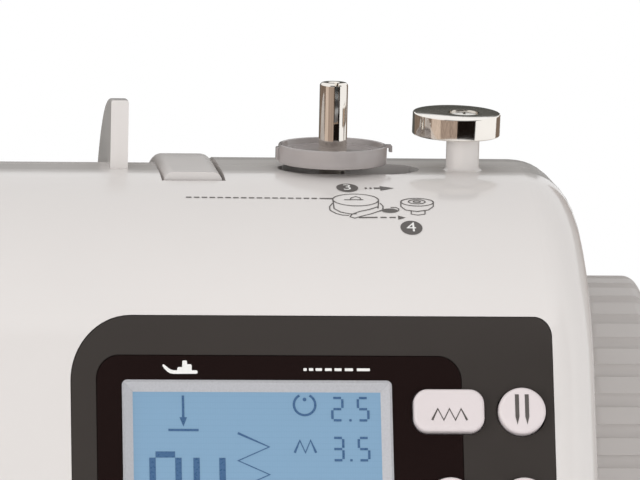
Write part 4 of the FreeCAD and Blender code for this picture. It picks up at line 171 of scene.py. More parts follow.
class SewingStage(bpy.types.PropertyGroup):
    azimuth: angle("Azimuth", "Camera's turn to the right of straight in front", -6.0)
    elevation: angle("Elevation", "Camera's height angle", 8.6)
    roll: angle("Roll", "Camera's turn about its own axis", 1.245)
    distance: length("Distance", "From the camera to the point it looks at", 1500.0)
    lens: bpy.props.FloatProperty(
        name="Lens", description="Focal length on a 36 mm sensor", default=408.02, min=1.0, unit="CAMERA",
    )
    aim: bpy.props.FloatVectorProperty(
        name="Aim", description="Point that the camera looks at", subtype="XYZ", unit="LENGTH",
        default=(135.015 * MM, -27.8 * MM, 272.089 * MM),
    )
    key_power: power("Key lamp", "Large soft lamp, front left", 8.8)
    fill_power: power("Fill lamp", "Large soft lamp, front right", 5.2)
    top_power: power("Top lamp", "Large soft lamp overhead", 2.7)
    ambient: bpy.props.FloatProperty(
        name="Ambient", description="Strength of the even light from the world", default=0.64, min=0.0,
    )


def sizes(name):
    """A size setting in millimetres."""
    return getattr(bpy.context.scene.sewing_sizes, name) / MM


def tint(name):
    return (*getattr(bpy.context.scene.sewing_colours, name), 1.0)


# Materials


def add(tree, kind, inputs=None, **settings):
    """Adds a node, sets its own settings, and gives each named input a value or a link."""
    node = tree.nodes.new(kind)
    for key, value in settings.items():
        setattr(node, key, value)
    for key, value in (inputs or {}).items():
        if isinstance(value, bpy.types.NodeSocket):
            tree.links.new(value, node.inputs[key])
        else:
            node.inputs[key].default_value = value
    return node


def blank(name):
    """A new material without nodes, and its node tree."""
    material = bpy.data.materials.new(name)
    material.use_nodes = True
    material.node_tree.nodes.clear()
    return material, material.node_tree


def finish(name, hue, roughness, blotch, grain, shader=None, stretch=(1.0, 1.0, 1.0)):
    """A material patterned in object space.

    blotch is the size in mm and the strength of slow changes in colour and gloss, grain the size and depth in mm of
    the fine relief, shader sets further inputs of the surface, and stretch draws the patterns out along an axis.
    """
    material, tree = blank(name)
    place = add(tree, "ShaderNodeTexCoord").outputs["Object"]
    drawn = add(tree, "ShaderNodeMapping", {"Vector": place, "Scale": stretch}).outputs["Vector"]
    slow = add(tree, "ShaderNodeTexNoise", {"Vector": drawn, "Scale": 1 / (blotch[0] * MM), "Detail": 4.0})
    change = {"Value": slow.outputs["Fac"], "From Min": 0.3, "From Max": 0.7}
    shade = add(tree, "ShaderNodeMapRange", {**change, "To Min": 1 - blotch[1], "To Max": 1 + blotch[1]})
    gloss = add(tree, "ShaderNodeMapRange", {**change, "To Min": roughness * 0.8, "To Max": roughness * 1.2})
    hue = add(tree, "ShaderNodeHueSaturation", {"Value": shade.outputs["Result"], "Color": tint(hue)})
    fine = add(tree, "ShaderNodeTexNoise", {"Vector": drawn, "Scale": 1 / (grain[0] * MM), "Detail": 3.0})
    relief = add(tree, "ShaderNodeBump", {"Height": fine.outputs["Fac"], "Distance": grain[1] * MM})
    surface = add(tree, "ShaderNodeBsdfPrincipled", {
        "Base Color": hue.outputs["Color"], "Roughness": gloss.outputs["Result"],
        "Normal": relief.outputs["Normal"], **(shader or {}),
    })
    add(tree, "ShaderNodeOutputMaterial", {"Surface": surface.outputs["BSDF"]})
    return material


def screen_glass():
    """LCD glass, unlit: a fine grid of cells under a clear face."""
    material, tree = blank("LCD glass, polished")
    place = add(tree, "ShaderNodeTexCoord").outputs["Object"]
    # The cells are drawn 0.5 mm wide, about twice as coarse as real ones, so that the grid survives in a picture.
    cells = add(tree, "ShaderNodeTexBrick", {
        "Vector": place, "Color1": tint("screen"), "Color2": tint("screen"), "Mortar": tint("segment"),
        "Scale": 1.0, "Mortar Size": 0.02 * MM, "Brick Width": 0.5 * MM, "Row Height": 0.5 * MM,
    }, offset=0.0)
    faint = add(tree, "ShaderNodeMix", {0: 0.1, 6: tint("screen"), 7: cells.outputs["Color"]}, data_type="RGBA")
    surface = add(tree, "ShaderNodeBsdfPrincipled", {
        "Base Color": faint.outputs[2], "Roughness": 0.3, "Coat Weight": 0.5, "Coat Roughness": 0.05, "IOR": 1.52,
    })
    add(tree, "ShaderNodeOutputMaterial", {"Surface": surface.outputs["BSDF"]})
    return material


METAL = {"Metallic": 1.0}
FINISHES = {
    # Smooth moulded plastic: soft clear reflections over a faint orange-peel
    "white_shell": ("ABS, gloss moulded", "shell", 0.16, (60.0, 0.015), (2.5, 0.004)),
    # The same plastic from a satin mould, so the handle stands off the cover
    "handle_white": ("ABS, satin moulded", "handle", 0.3, (50.0, 0.015), (1.0, 0.004)),
    # Printed film: matt, with a fine even tooth
    "panel_grey": ("Polycarbonate film, printed matt", "panel", 0.5, (30.0, 0.04), (0.5, 0.004),
                   {"Specular IOR Level": 0.2}),
    # Clear sheet painted on the back: deep black with sharp reflections
    "window_black": ("Acrylic, back painted", "window", 0.12, (40.0, 0.05), (4.0, 0.001)),
    # Sprayed silver: fine pale flakes
    "bezel_grey": ("ABS, silver sprayed", "bezel", 0.38, (0.4, 0.06), (0.5, 0.003), {"Metallic": 0.3}),
    # Keys from a spark-eroded mould: a soft sheen
    "key_white": ("ABS, spark-eroded satin", "key", 0.35, (15.0, 0.02), (0.4, 0.004)),
    # Tinted key: a strong colour under a smooth face
    "start_green": ("Polycarbonate, tinted moulded", "start", 0.25, (8.0, 0.06), (0.6, 0.003)),
    # Unpainted nylon: grey with a clear shine and slow flow marks
    "dish_grey": ("Nylon, moulded", "dish", 0.1, (12.0, 0.04), (0.6, 0.004)),
    # Handwheel: the same grey family, finely textured for grip
    "wheel_grey": ("ABS, textured moulded", "wheel", 0.45, (25.0, 0.03), (0.7, 0.012)),
    # Tray: coarse matt texture that hides scuffs
    "base_grey": ("Polypropylene, textured moulded", "base", 0.55, (30.0, 0.05), (0.9, 0.02)),
    # Plating: mirror with faint wiping marks
    "chrome": ("Steel, chrome plated", "chrome", 0.07, (9.0, 0.03), (6.0, 0.0008), METAL),
    # Ground steel: streaks along the grinding
    "steel": ("Steel, ground", "steel", 0.3, (3.0, 0.05), (0.5, 0.0008), METAL, (0.06, 1.0, 1.0)),
    # Zinc on the stopper's screw: softer than the plating round it, so it catches more light
    "zinc": ("Steel, zinc plated", "zinc", 0.3, (1.5, 0.06), (0.5, 0.004), METAL),
    # Sand casting: pebbly dull metal
    "casting": ("Aluminium, sand cast", "casting", 0.6, (8.0, 0.1), (1.2, 0.12), METAL),
    # Sintered bronze: warm and slightly porous
    "bronze": ("Bronze, sintered", "bronze", 0.45, (3.0, 0.1), (0.4, 0.02), METAL),
    # Rubber: near black, no shine, dusty patches
    "rubber": ("Rubber, moulded", "rubber", 0.8, (9.0, 0.12), (0.5, 0.02)),
    # Motor case: black with a fibre grain
    "motor_black": ("Nylon with glass fibre, moulded", "motor", 0.55, (5.0, 0.12), (0.6, 0.02)),
    # Circuit board: glossy green lacquer
    "board_green": ("Glass epoxy, lacquered", "board", 0.3, (4.0, 0.15), (0.8, 0.01)),
    # Inlet and switch: plain black with a slight sheen
    "black_plastic": ("Polyamide, moulded", "black", 0.4, (10.0, 0.08), (0.5, 0.006)),
    # Clear lid and bobbin: see-through, slightly rippled
    "clear_plastic": (
        "Polycarbonate, clear moulded", "clear", 0.06, (20.0, 0.01), (5.0, 0.004),
        {"Transmission Weight": 1.0, "IOR": 1.585, "Alpha": 0.35},
    ),
    # Lamp lens: frosted so that the source does not show
    "lamp_lens": (
        "Acrylic, frosted", "lens", 0.35, (6.0, 0.03), (0.8, 0.02), {"Transmission Weight": 0.6, "IOR": 1.49},
    ),
}
INKS = {
    # Pad print on the covers: flat dark grey with slightly uneven cover
    "dark_ink": ("Ink, pad printed dark", "dark_ink", 0.5, (1.5, 0.08), (0.3, 0.001)),
    # Screen print on the window: flat white
    "white_ink": ("Ink, screen printed white", "white_ink", 0.5, (1.5, 0.04), (0.3, 0.001)),
    # Display marks: darker cells seen through the glass
    "segment": ("LCD cells, driven", "segment", 0.3, (0.5, 0.06), (0.5, 0.001)),
    # Wound thread: dull cotton-like strands
    "thread": ("Polyester thread, wound", "thread", 0.75, (0.8, 0.12), (0.3, 0.06), None, (1.0, 1.0, 4.0)),
}


def ready(key):
    """The finished material for a slot or an ink, made on first use."""
    row = {**FINISHES, **INKS}[key]
    return bpy.data.materials.get(row[0]) or finish(*row)


# Shapes


def middle(node):
    """Middle of a CAD node's box in millimetres."""
    low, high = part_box(node)
    return [(a + b) / 2 / MM for a, b in zip(low, high)]


def sides(node, axis):
    """Lower and upper side of a CAD node's box in millimetres, along axis 0 to 2."""
    return [corner[axis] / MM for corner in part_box(node)]


def upright(x, y, z):
    """Places shapes with their own axes along the frame's."""
    return lambda u, v, w: Vector((x + u, y + v, z + w)) * MM


def sideways(x, y, z):
    """Places shapes whose own w axis points along X: u along Y, v along Z."""
    return lambda u, v, w: Vector((x + w, y + u, z + v)) * MM


def backwards(x, y, z):
    """Places shapes whose own w axis points back along Y: u along X, v along Z."""
    return lambda u, v, w: Vector((x + u, y + w, z + v)) * MM


def on_crown(x):
    """Places drawings on the crown: u along X from x, v back along the surface from the crown's top, w outwards."""
    radius = sizes("crown_radius")
    behind = sizes("crown_behind")
    level = sizes("crown_top") - radius

    def place(u, v, w):
        turn = v / radius
        reach = radius + w
        return Vector((x + u, behind + reach * math.sin(turn), level + reach * math.cos(turn))) * MM

    return place


def on_facia(x, top_slope=0.0):
    """Places drawings on the flat facia: u along X from x, v up the slope from its top edge, w outwards."""
    tilt = bpy.context.scene.sewing_sizes.facia_tilt
    radius = sizes("crown_radius")
    top_y = sizes("crown_behind") - radius * math.sin(tilt)
    top_z = sizes("crown_top") - radius * (1 - math.cos(tilt))

    def place(u, v, w):
        v = v - top_slope
        y = top_y + v * math.cos(tilt) - w * math.sin(tilt)
        return Vector((x + u, y, top_z + v * math.sin(tilt) + w * math.cos(tilt))) * MM

    return place


def on_wheel(x, y, z, radius, turn):
    """Places drawings on a wheel about X, at a turn forwards from its top: u along X, v up, w outwards."""

    def place(u, v, w):
        at = turn - v / radius
        return Vector((x + u, y - (radius + w) * math.sin(at), z + (radius + w) * math.cos(at))) * MM

    return place


def shape(name, bm, *materials):
    """An object in the scene from the bmesh, which is used up."""
    mesh = bpy.data.meshes.new(name)
    bm.to_mesh(mesh)
    bm.free()
    for material in materials:
        mesh.materials.append(material)
    made = bpy.data.objects.new(name, mesh)
    bpy.context.scene.collection.objects.link(made)
    return made


def piece(name, body, bm, look, stands_for=(), smooth=SMOOTH):
    """Makes an object with a finish or an ink from the bmesh and puts it on its body."""
    bmesh.ops.recalc_face_normals(bm, faces=bm.faces)
    made = shape(name, bm, ready(look))
    made.data.shade_smooth()
    made.data.set_sharp_from_angle(angle=math.radians(smooth))
    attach(made, body)
    if stands_for:
        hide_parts(*stands_for)
    return made


def skin(bm, loops, closed=True, caps=True):
    """Joins loops of equally many points with faces, and closes the first and last."""
    rows = [[bm.verts.new(p) for p in loop] for loop in loops]
    count = len(rows[0])
    for a, b in zip(rows, rows[1:]):
        for i in range(count if closed else count - 1):
            j = (i + 1) % count
            bm.faces.new((a[i], a[j], b[j], b[i]))
    if caps:
        bm.faces.new(rows[0])
        bm.faces.new(rows[-1])


def lathe(bm, profile, place, steps=96):
    """Turns a closed profile of (radius, height) about the local w axis."""
    rows = []
    for i in range(steps):
        turn = 2 * math.pi * i / steps
        rows.append([bm.verts.new(place(r * math.cos(turn), r * math.sin(turn), w)) for r, w in profile])
    for i in range(steps):
        a, b = rows[i], rows[(i + 1) % steps]
        for j in range(len(profile)):
            k = (j + 1) % len(profile)
            bm.faces.new((a[j], b[j], b[k], a[k]))
    bmesh.ops.remove_doubles(bm, verts=[v for row in rows for v in row], dist=JOIN)


def inset(outline, amount):
    """Moves a counter-clockwise outline inwards."""
    moved = []
    count = len(outline)
    for i, (x, y) in enumerate(outline):
        ax, ay = outline[i - 1]
        bx, by = outline[(i + 1) % count]
        first = Vector((ay - y, x - ax)).normalized()
        second = Vector((y - by, bx - x)).normalized()
        normal = first + second
        normal *= amount / max(0.2, 1 + first.dot(second))
        moved.append((x + normal.x, y + normal.y))
    return moved


def quarter(steps=6):
    """Angles from 0 to 90 degrees."""
    return [math.pi / 2 * i / steps for i in range(steps + 1)]


def slab(bm, outline, place, low, high, rounding=0.0, steps=4):
    """Raises an outline from low to high, its upper edge rounded."""
    levels = [(0.0, low), (0.0, high - rounding)]
    for turn in quarter(steps)[1:] if rounding else ():
        levels.append((rounding * (1 - math.cos(turn)), high - rounding * (1 - math.sin(turn))))
    skin(bm, [[place(x, y, w) for x, y in (inset(outline, d) if d else outline)] for d, w in levels])


def oblong(x0, x1, y0, y1):
    """A counter-clockwise rectangle."""
    return [(x0, y0), (x1, y0), (x1, y1), (x0, y1)]


def rounded(x0, x1, y0, y1, radius, steps=5):
    """A counter-clockwise rectangle with round corners."""
    points = []
    for cx, cy, start in ((x1, y1, 0), (x0, y1, 90), (x0, y0, 180), (x1, y0, 270)):
        sx = -1 if cx == x1 else 1
        sy = -1 if cy == y1 else 1
        for i in range(steps + 1):
            turn = math.radians(start + 90 * i / steps)
            points.append((cx + sx * radius + radius * math.cos(turn), cy + sy * radius + radius * math.sin(turn)))
    return points


def round_points(cx, cy, rx, ry, start=0.0, end=360.0, steps=32):
    """Points along an ellipse, the last left off where it closes."""
    count = steps if end - start >= 360 else steps + 1
    turns = [math.radians(start + (end - start) * i / steps) for i in range(count)]
    return [(cx + rx * math.cos(t), cy + ry * math.sin(t)) for t in turns]


def banks(points, width, closed=False):
    """Points at half the width to the left and to the right of a line."""
    count = len(points)
    left, right = [], []
    for i, (x, y) in enumerate(points):
        ax, ay = points[i - 1] if i or closed else (x, y)
        bx, by = points[(i + 1) % count] if i < count - 1 or closed else (x, y)
        along = Vector((bx - ax, by - ay)).normalized() * (width / 2)
        left.append((x - along.y, y + along.x))
        right.append((x + along.y, y - along.x))
    return left, right


def ribbon(points, width):
    """Counter-clockwise outline of a strip of even width along the points."""
    left, right = banks(points, width)
    return right + left[::-1]


def dashes(start, end, on, pitch):
    """Short lines from start to end."""
    start, end = Vector(start), Vector(end)
    along = (end - start).normalized()
    offsets = [i * pitch for i in range(int((end - start).length / pitch))]
    return [[tuple(start + along * offset), tuple(start + along * (offset + on))] for offset in offsets]


class Print:
    """Flat marks on a surface: place turns their own u and v, and their height over it, into a point of the frame."""

    def __init__(self, place=None, lift=None):
        self.bm = bmesh.new()
        self.place = place
        self.lift = sizes("ink_lift") if lift is None else lift

    def points(self, outline):
        return [self.bm.verts.new(self.place(u, v, self.lift)) for u, v in outline]

    def area(self, outline):
        self.bm.faces.new(self.points(outline))

    def line(self, points, width, closed=False):
        """A line of even width through the points."""
        left, right = (self.points(bank) for bank in banks(points, width, closed))
        count = len(points)
        for i in range(count if closed else count - 1):
            j = (i + 1) % count
            self.bm.faces.new((left[i], left[j], right[j], right[i]))

    def numerals(self, text, height, u=0.0, v=0.0):
        """Numerals round a middle, from Blender's own font."""
        curve = bpy.data.curves.new("numerals", "FONT")
        curve.body = text
        curve.align_x = "CENTER"
        curve.align_y = "CENTER"
        curve.resolution_u = 4
        holder = bpy.data.objects.new("numerals", curve)
        mesh = holder.to_mesh()
        scale = height / FONT_HEIGHT
        made = self.points([(u + p.co.x * scale, v + p.co.y * scale) for p in mesh.vertices])
        for face in mesh.polygons:
            self.bm.faces.new([made[i] for i in face.vertices])
        holder.to_mesh_clear()
        bpy.data.objects.remove(holder)
        bpy.data.curves.remove(curve)

    def segments(self, text, corner, size, gap, line):
        """Seven-segment numerals from the upper left corner, size as width and height, with a dot for a point."""
        x, top = corner
        wide, high = size
        half = line / 2
        for mark in text:
            if mark == ".":
                at = x - gap / 2
                self.area(rounded(at - half, at + half, top - high, top - high + line, 0.1, 2))
                continue
            levels = (top - half, top - high / 2, top - high + half)
            bars = dict(zip("agd", [((x + line, z), (x + wide - line, z)) for z in levels]))
            for side, names in ((x + half, "fe"), (x + wide - half, "bc")):
                for name, upper, lower in zip(names, levels, levels[1:]):
                    bars[name] = ((side, upper - half), (side, lower + half))
            for name in NUMERAL_BARS[mark]:
                self.line(bars[name], line)
            x += wide + gap


def carve(made, outline, place, low, high):
    """Cuts an outline, raised from low to high, out of an object."""
    bm = bmesh.new()
    slab(bm, outline, place, low, high)
    bmesh.ops.recalc_face_normals(bm, faces=bm.faces)
    cutter = shape("cutter", bm)
    tool = made.modifiers.new("cut", "BOOLEAN")
    tool.operation = "DIFFERENCE"
    tool.solver = "EXACT"
    tool.object = cutter
    seen = made.evaluated_get(bpy.context.evaluated_depsgraph_get())
    cut = bpy.data.meshes.new_from_object(seen)
    made.modifiers.clear()
    made.data = cut
    cut.set_sharp_from_angle(angle=math.radians(SMOOTH))
    bpy.data.objects.remove(cutter)


def ring(bm, outer, inner, place, low, high):
    """A plate between two outlines of equally many points."""
    levels = ((outer, low), (outer, high), (inner, high), (inner, low), (outer, low))
    skin(bm, [[place(x, y, w) for x, y in outline] for outline, w in levels], caps=False)
    bmesh.ops.remove_doubles(bm, verts=bm.verts, dist=JOIN)


# Winding diagram, in millimetres to the right of the winder's axis and back along the crown: lines, rings with their
# middle and two radii, and the discs that carry numerals
DIAGRAM_LINES = [
    [(0.22, -19.22), (4.24, -19.15)],
    [(1.51, -19.2), (1.79, -18.33), (2.77, -17.78), (3.6, -18.3), (3.75, -19.16)],
    [(-2.15, -19.6), (-2.21, -22.92), (-0.97, -24.22), (0.96, -24.9), (2.36, -24.88)],
    [(7.4, -19.6), (7.0, -22.77)],
    [(-2.33, -20.75), (-3.1, -22.17), (-3.11, -23.52), (-2.02, -24.74), (-0.68, -25.35), (0.71, -25.47)],
    [(7.58, -20.58), (8.13, -21.83), (8.0, -23.13), (7.25, -23.87)],
    [(0.85, -25.9), (1.35, -25.04), (3.05, -23.94), (5.12, -23.17), (7.15, -22.0)],
    [(0.85, -25.9), (1.82, -26.41), (3.28, -25.71), (5.36, -24.84), (7.57, -23.5)],
    [(9.68, -22.34), (10.81, -22.33), (11.35, -22.85), (11.2, -23.59), (10.73, -23.89)],
    [
        (12.04, -20.09), (11.85, -21.92), (12.71, -23.27), (15.06, -23.83), (17.53, -23.2), (18.67, -21.81),
        (18.87, -19.97),
    ],
    [(13.88, -23.62), (13.75, -24.85), (15.12, -25.18), (16.64, -24.81), (16.77, -23.58)],
]
DIAGRAM_RINGS = [
    (2.63, -19.2, 4.8, 2.6), (15.45, -20.05, 3.42, 1.65), (15.4, -19.9, 1.75, 0.9), (15.4, -19.9, 0.75, 0.35),
]
DIAGRAM_STEPS = {"3": (1.42, -13.34), "4": (13.39, -29.52)}
# Presser-foot sign and stitch lengths, from the facia's top edge; X from the window's left side
FOOT_SIGN = [
    (13.52, -0.61), (13.9, -1.24), (14.48, -1.84), (15.12, -2.21), (15.77, -2.32), (20.41, -2.29), (20.64, -2.17),
    (20.74, -1.94), (20.65, -1.67), (20.42, -1.56), (19.53, -1.57), (19.52, -0.53), (19.33, -0.28), (18.58, -0.29),
    (18.56, 0.36), (18.43, 0.51), (17.78, 0.5), (17.62, 0.33), (17.56, -0.88), (16.78, -0.89), (16.58, -1.09),
    (16.53, -1.56), (15.79, -1.56), (15.2, -1.41), (14.56, -0.97), (13.92, -0.4), (13.66, -0.28),
]
STITCH_SIGN = [
    (42.47, 43.13), (43.59, 44.48), (44.95, 46.27), (46.89, 48.28), (48.85, 50.31), (50.95, 52.66), (53.44, 56.13),
]
STITCH_LEVEL = -1.3
# Row of keys that each sign lies in, its ink, line width, lines and areas, from the key's middle
KEY_SIGNS = {
    "wide_key": ("upper_keys", "dark_ink", 0.45, [
        [(-3.6, -2.2), (-2.4, 0.2), (-1.2, -2.2), (0.0, 0.2), (1.2, -2.2), (2.4, 0.2), (3.6, -2.2)],
    ], []),
    "round_key": ("upper_keys", "dark_ink", 0.82, [
        [(-1.12, 3.3), (-1.12, -1.4)], [(0.92, 3.3), (0.92, -1.4)],
    ], [[(-1.53, -1.4), (-1.12, -3.1), (-0.71, -1.4)], [(0.51, -1.4), (0.92, -3.1), (1.33, -1.4)]]),
    "width_key": ("lower_keys", "dark_ink", 0.45, [[(-1.6, 0.0), (1.6, 0.0)]], [
        [(-3.2, 0.0), (-1.5, -1.1), (-1.5, 1.1)], [(3.2, 0.0), (1.5, 1.1), (1.5, -1.1)],
    ]),
    "length_key": ("lower_keys", "dark_ink", 0.45, [[(0.0, -1.6), (0.0, 1.6)]], [
        [(0.0, -3.2), (1.1, -1.5), (-1.1, -1.5)], [(0.0, 3.2), (-1.1, 1.5), (1.1, 1.5)],
    ]),
    "start_key": ("head_keys", "white_ink", 0.9, [[(2.7, -2.5), (2.7, 2.5)]], [
        [(-3.0, 2.7), (-3.0, -2.7), (1.4, 0.0)],
    ]),
    "reverse_key": ("head_keys", "dark_ink", 0.55, [
        [(1.6, -2.2), *round_points(0.0, 0.4, 1.6, 1.6, 0, 180, 12), (-1.6, -0.6)],
    ], [[(-2.7, -0.5), (-1.6, -2.4), (-0.5, -0.5)]]),
    "needle_key": ("head_keys", "dark_ink", 0.5, [[(-2.6, 0.0), (2.6, 0.0)], [(0.0, -1.4), (0.0, 1.4)]], [
        [(0.0, 3.2), (-1.1, 1.3), (1.1, 1.3)], [(0.0, -3.2), (1.1, -1.3), (-1.1, -1.3)],
    ]),
}
# Lit bars of each seven-segment numeral: top, upper right, lower right, foot, lower left, upper left, middle
NUMERAL_BARS = {"0": "abcdef", "2": "abged", "3": "abgcd", "4": "fgbc", "5": "afgcd"}
# Middles of the switch's two marks in X and Z, and how far the rocker's face leans there, in degrees
SWITCH_ON = (192.68, 87.7, -4.1)
SWITCH_OFF = (191.39, 78.49, 20.1)


# Stage, in metres

# Each lamp's power setting, its place and its side; all lamps face one point
LAMPS = {
    "key_lamp": ("key_power", (-1.3, -0.95, 0.45), 0.9),
    "fill_lamp": ("fill_power", (0.75, -1.3, 0.35), 0.9),
    "top_lamp": ("top_power", (0.1, 0.15, 1.5), 1.8),
}
LAMP_AIM = Vector((0.0, 0.0, 0.18))
# Each card's colour, its ends in degrees to the right of straight in front, and its lower and upper edge; the cards
# stand round one upright axis
CARDS = {
    "dark_card": ("black_card", -3, 46, 0.0, 0.5),
    "tan_card": ("tan_card", -48, -3, 0.0, 0.5),
    "pale_card": ("pale_card", -75, -48, 0.0, 0.5),
    "warm_card": ("warm_card", -150, -75, 0.0, 0.5),
    "side_card": ("warm_card", 122, 160, 0.0, 0.5),
    "back_card": ("grey_card", 165, 210, 0.0, 0.52),
    "upper_card": ("black_card", -40, 66, 0.62, 1.3),
}
CARD_AXIS = (0.15, 0.0)
CARD_RADIUS = 0.85
FLOOR_RADIUS = 30.0


# Operators


class SEWING_OT_finishes(bpy.types.Operator):
    """Gives every CAD node the finished material of its slot, and softens the edges of some small parts"""

    bl_idname = "sewing.finishes"
    bl_label = "Finish the covers and works"

    def execute(self, context):
        for part in frame["record"]["subparts"]:
            slot = part["material_slot"]
            mesh = frame["nodes"][part["node"]].data
            mesh.materials.clear()
            mesh.materials.append(screen_glass() if slot == "display_blue" else ready(slot))
        for node in ("spool_plate", "presser_lifter", "spool_cap", "drop_lever", "presser_bar"):
            soft = frame["nodes"][node].modifiers.new("soft_edges", "BEVEL")
            soft.width = context.scene.sewing_sizes.soft_edge
            soft.segments = 3
            soft.limit_method = "ANGLE"
            soft.angle_limit = math.radians(50)
        return {"FINISHED"}


class SEWING_OT_winder(bpy.types.Operator):
    """Builds the bobbin winder's slit spindle with its leaf spring, and the dish with its tab and thread cutter"""

    bl_idname = "sewing.winder"
    bl_label = "Bobbin winder"

    def execute(self, context):
        x, y, _ = middle("winder_spindle")
        low, top = sides("winder_dish", 2)
        floor = top - sizes("dish_depth")
        self.spindle(x, y, floor, context.scene.sewing_sizes.slit_turn)
        self.dish(x, y, low, floor, top)
        return {"FINISHED"}

    def spindle(self, x, y, floor, slit_turn):
        low, top = sides("winder_spindle", 2)
        r = sizes("spindle_radius")
        soft = sizes("spindle_edge")
        profile = [(0.0, low), (r - 0.2, low), (r - 0.2, floor), (r, floor)]
        profile += [(r - soft + soft * math.cos(t), top - soft + soft * math.sin(t)) for t in quarter()]
        profile += [(1.25, top), (1.0, top - 0.25), (0.9, top - 1.1), (0.0, top - 1.2)]
        bm = bmesh.new()
        lathe(bm, profile, upright(x, y, 0))
        spindle = piece("winder_spindle_slit", "winder_spindle", bm, "chrome", ["winder_spindle"])
        turn = Matrix.Rotation(slit_turn, 2)
        half = sizes("slit_width") / 2
        deep = sizes("slit_depth")

        def facing(u, v, w):
            across = turn @ Vector((u, v))
            return Vector((x + across.x, y + across.y, top + w)) * MM

        carve(spindle, oblong(-half, half, -r - 1, -0.9), facing, -deep, 1.0)
        # The leaf spring is sunk at its ends and bows out of the slit between them
        sunk = 0.6
        bow = sizes("spring_bow")
        wide = half * 0.8
        loops = []
        for i in range(13):
            share = i / 12
            out = -(r - sunk) - (sunk + bow) * math.sin(math.pi * share)
            level = -0.6 - (deep - 0.9) * share
            loops.append([facing(u, v, level) for u, v in oblong(-wide, wide, out, out + 0.25)])
        bm = bmesh.new()
        skin(bm, loops)
        piece("winder_spring", "winder_spindle", bm, "steel", smooth=50.0)

    def dish(self, x, y, low, floor, top):
        reach = sizes("dish_radius")
        rim = reach - sizes("dish_rim")
        bore = sizes("spindle_radius") + 0.02
        bm = bmesh.new()
        lathe(bm, [
            (bore, low), (reach - 0.5, low), (reach - 0.15, low + 0.15), (reach, low + 0.5), (reach, top - 0.3),
            (reach - 0.1, top - 0.08), (reach - 0.3, top), (rim + 0.25, top), (rim + 0.05, top - 0.12),
            (rim - 0.25, floor + 0.12), (rim - 0.5, floor), (9.0, floor), (8.9, floor - 0.18), (8.6, floor - 0.18),
            (8.5, floor), (bore, floor),
        ], upright(x, y, 0), steps=128)
        tab = rounded(-reach - 0.55, -reach + 0.4, -1.2, 1.2, 0.35)
        slab(bm, tab, upright(x, y, 0), low + 0.7, top - 0.6, 0.3)
        cutter = [
            (reach + 0.3, top - 0.62), (reach + 0.5, top - 0.75), (reach + 0.5, top - 1.5), (reach + 1.1, top - 1.5),
            (reach + 1.1, top - 0.25), (reach + 0.85, top - 0.02), (rim + 0.3, top - 0.02), (rim + 0.3, top - 0.62),
        ]
        slab(bm, cutter, backwards(x, y, 0), -0.9, 0.9, 0.12, 2)
        piece("winder_dish_cutter", "winder_spindle", bm, "dish_grey", ["winder_dish"])


class SEWING_OT_stopper(bpy.types.Operator):
    """Builds the bobbin stopper's plated disc, which leans a little on its post, and its cross-head screw"""

    bl_idname = "sewing.stopper"
    bl_label = "Bobbin stopper"

    def execute(self, context):
        x, y, _ = middle("bobbin_stopper")
        front, back = sides("bobbin_stopper", 1)
        r = (back - front) / 2
        top = sides("bobbin_stopper", 2)[1]
        low = top - sizes("stopper_thick")
        post = middle("stopper_screw")[0]
        soft = sizes("stopper_edge")
        settings = context.scene.sewing_sizes
        lean = Matrix.Rotation(settings.stopper_nod, 3, "X") @ Matrix.Rotation(settings.stopper_dip, 3, "Y")
        centre = Vector((x, y, (low + top) / 2))

        def place(u, v, w):
            return (centre + lean @ Vector((u, v, w))) * MM

        half = (top - low) / 2
        upper = [(r - soft + soft * math.sin(t), half - soft + soft * math.cos(t)) for t in quarter()]
        profile = [(0.0, half)] + upper + [(radius, -level) for radius, level in upper[::-1]] + [(0.0, -half)]
        bm = bmesh.new()
        lathe(bm, profile, place, 160)
        disc = piece("stopper_disc", "bobbin_stopper", bm, "chrome", ["bobbin_stopper"])
        # Bore round the post, recess over the post's shoulder, and opening over the screw's head
        for radius, foot, head in ((3.3, low - 1.0, top), (4.2, low - 1.0, low + 0.6), (3.2, top - 1.4, top + 1.0)):
            carve(disc, round_points(post, y, radius, radius, steps=64), upright(0, 0, 0), foot, head)
        foot = sides("stopper_screw", 2)[0]
        dome = [(3.1 * math.sin(t), foot + 0.35 + 0.85 * math.cos(t)) for t in quarter()]
        bm = bmesh.new()
        lathe(bm, [(0.0, foot), (2.9, foot), (3.1, foot + 0.2)] + dome[::-1], upright(post, y, 0), 64)
        screw = piece("stopper_screw_head", "root", bm, "zinc", ["stopper_screw"])
        for wide, tall in ((1.7, 0.32), (0.32, 1.7)):
            carve(screw, oblong(-wide, wide, -tall, tall), upright(post, y, 0), foot + 0.55, foot + 3.0)
        return {"FINISHED"}


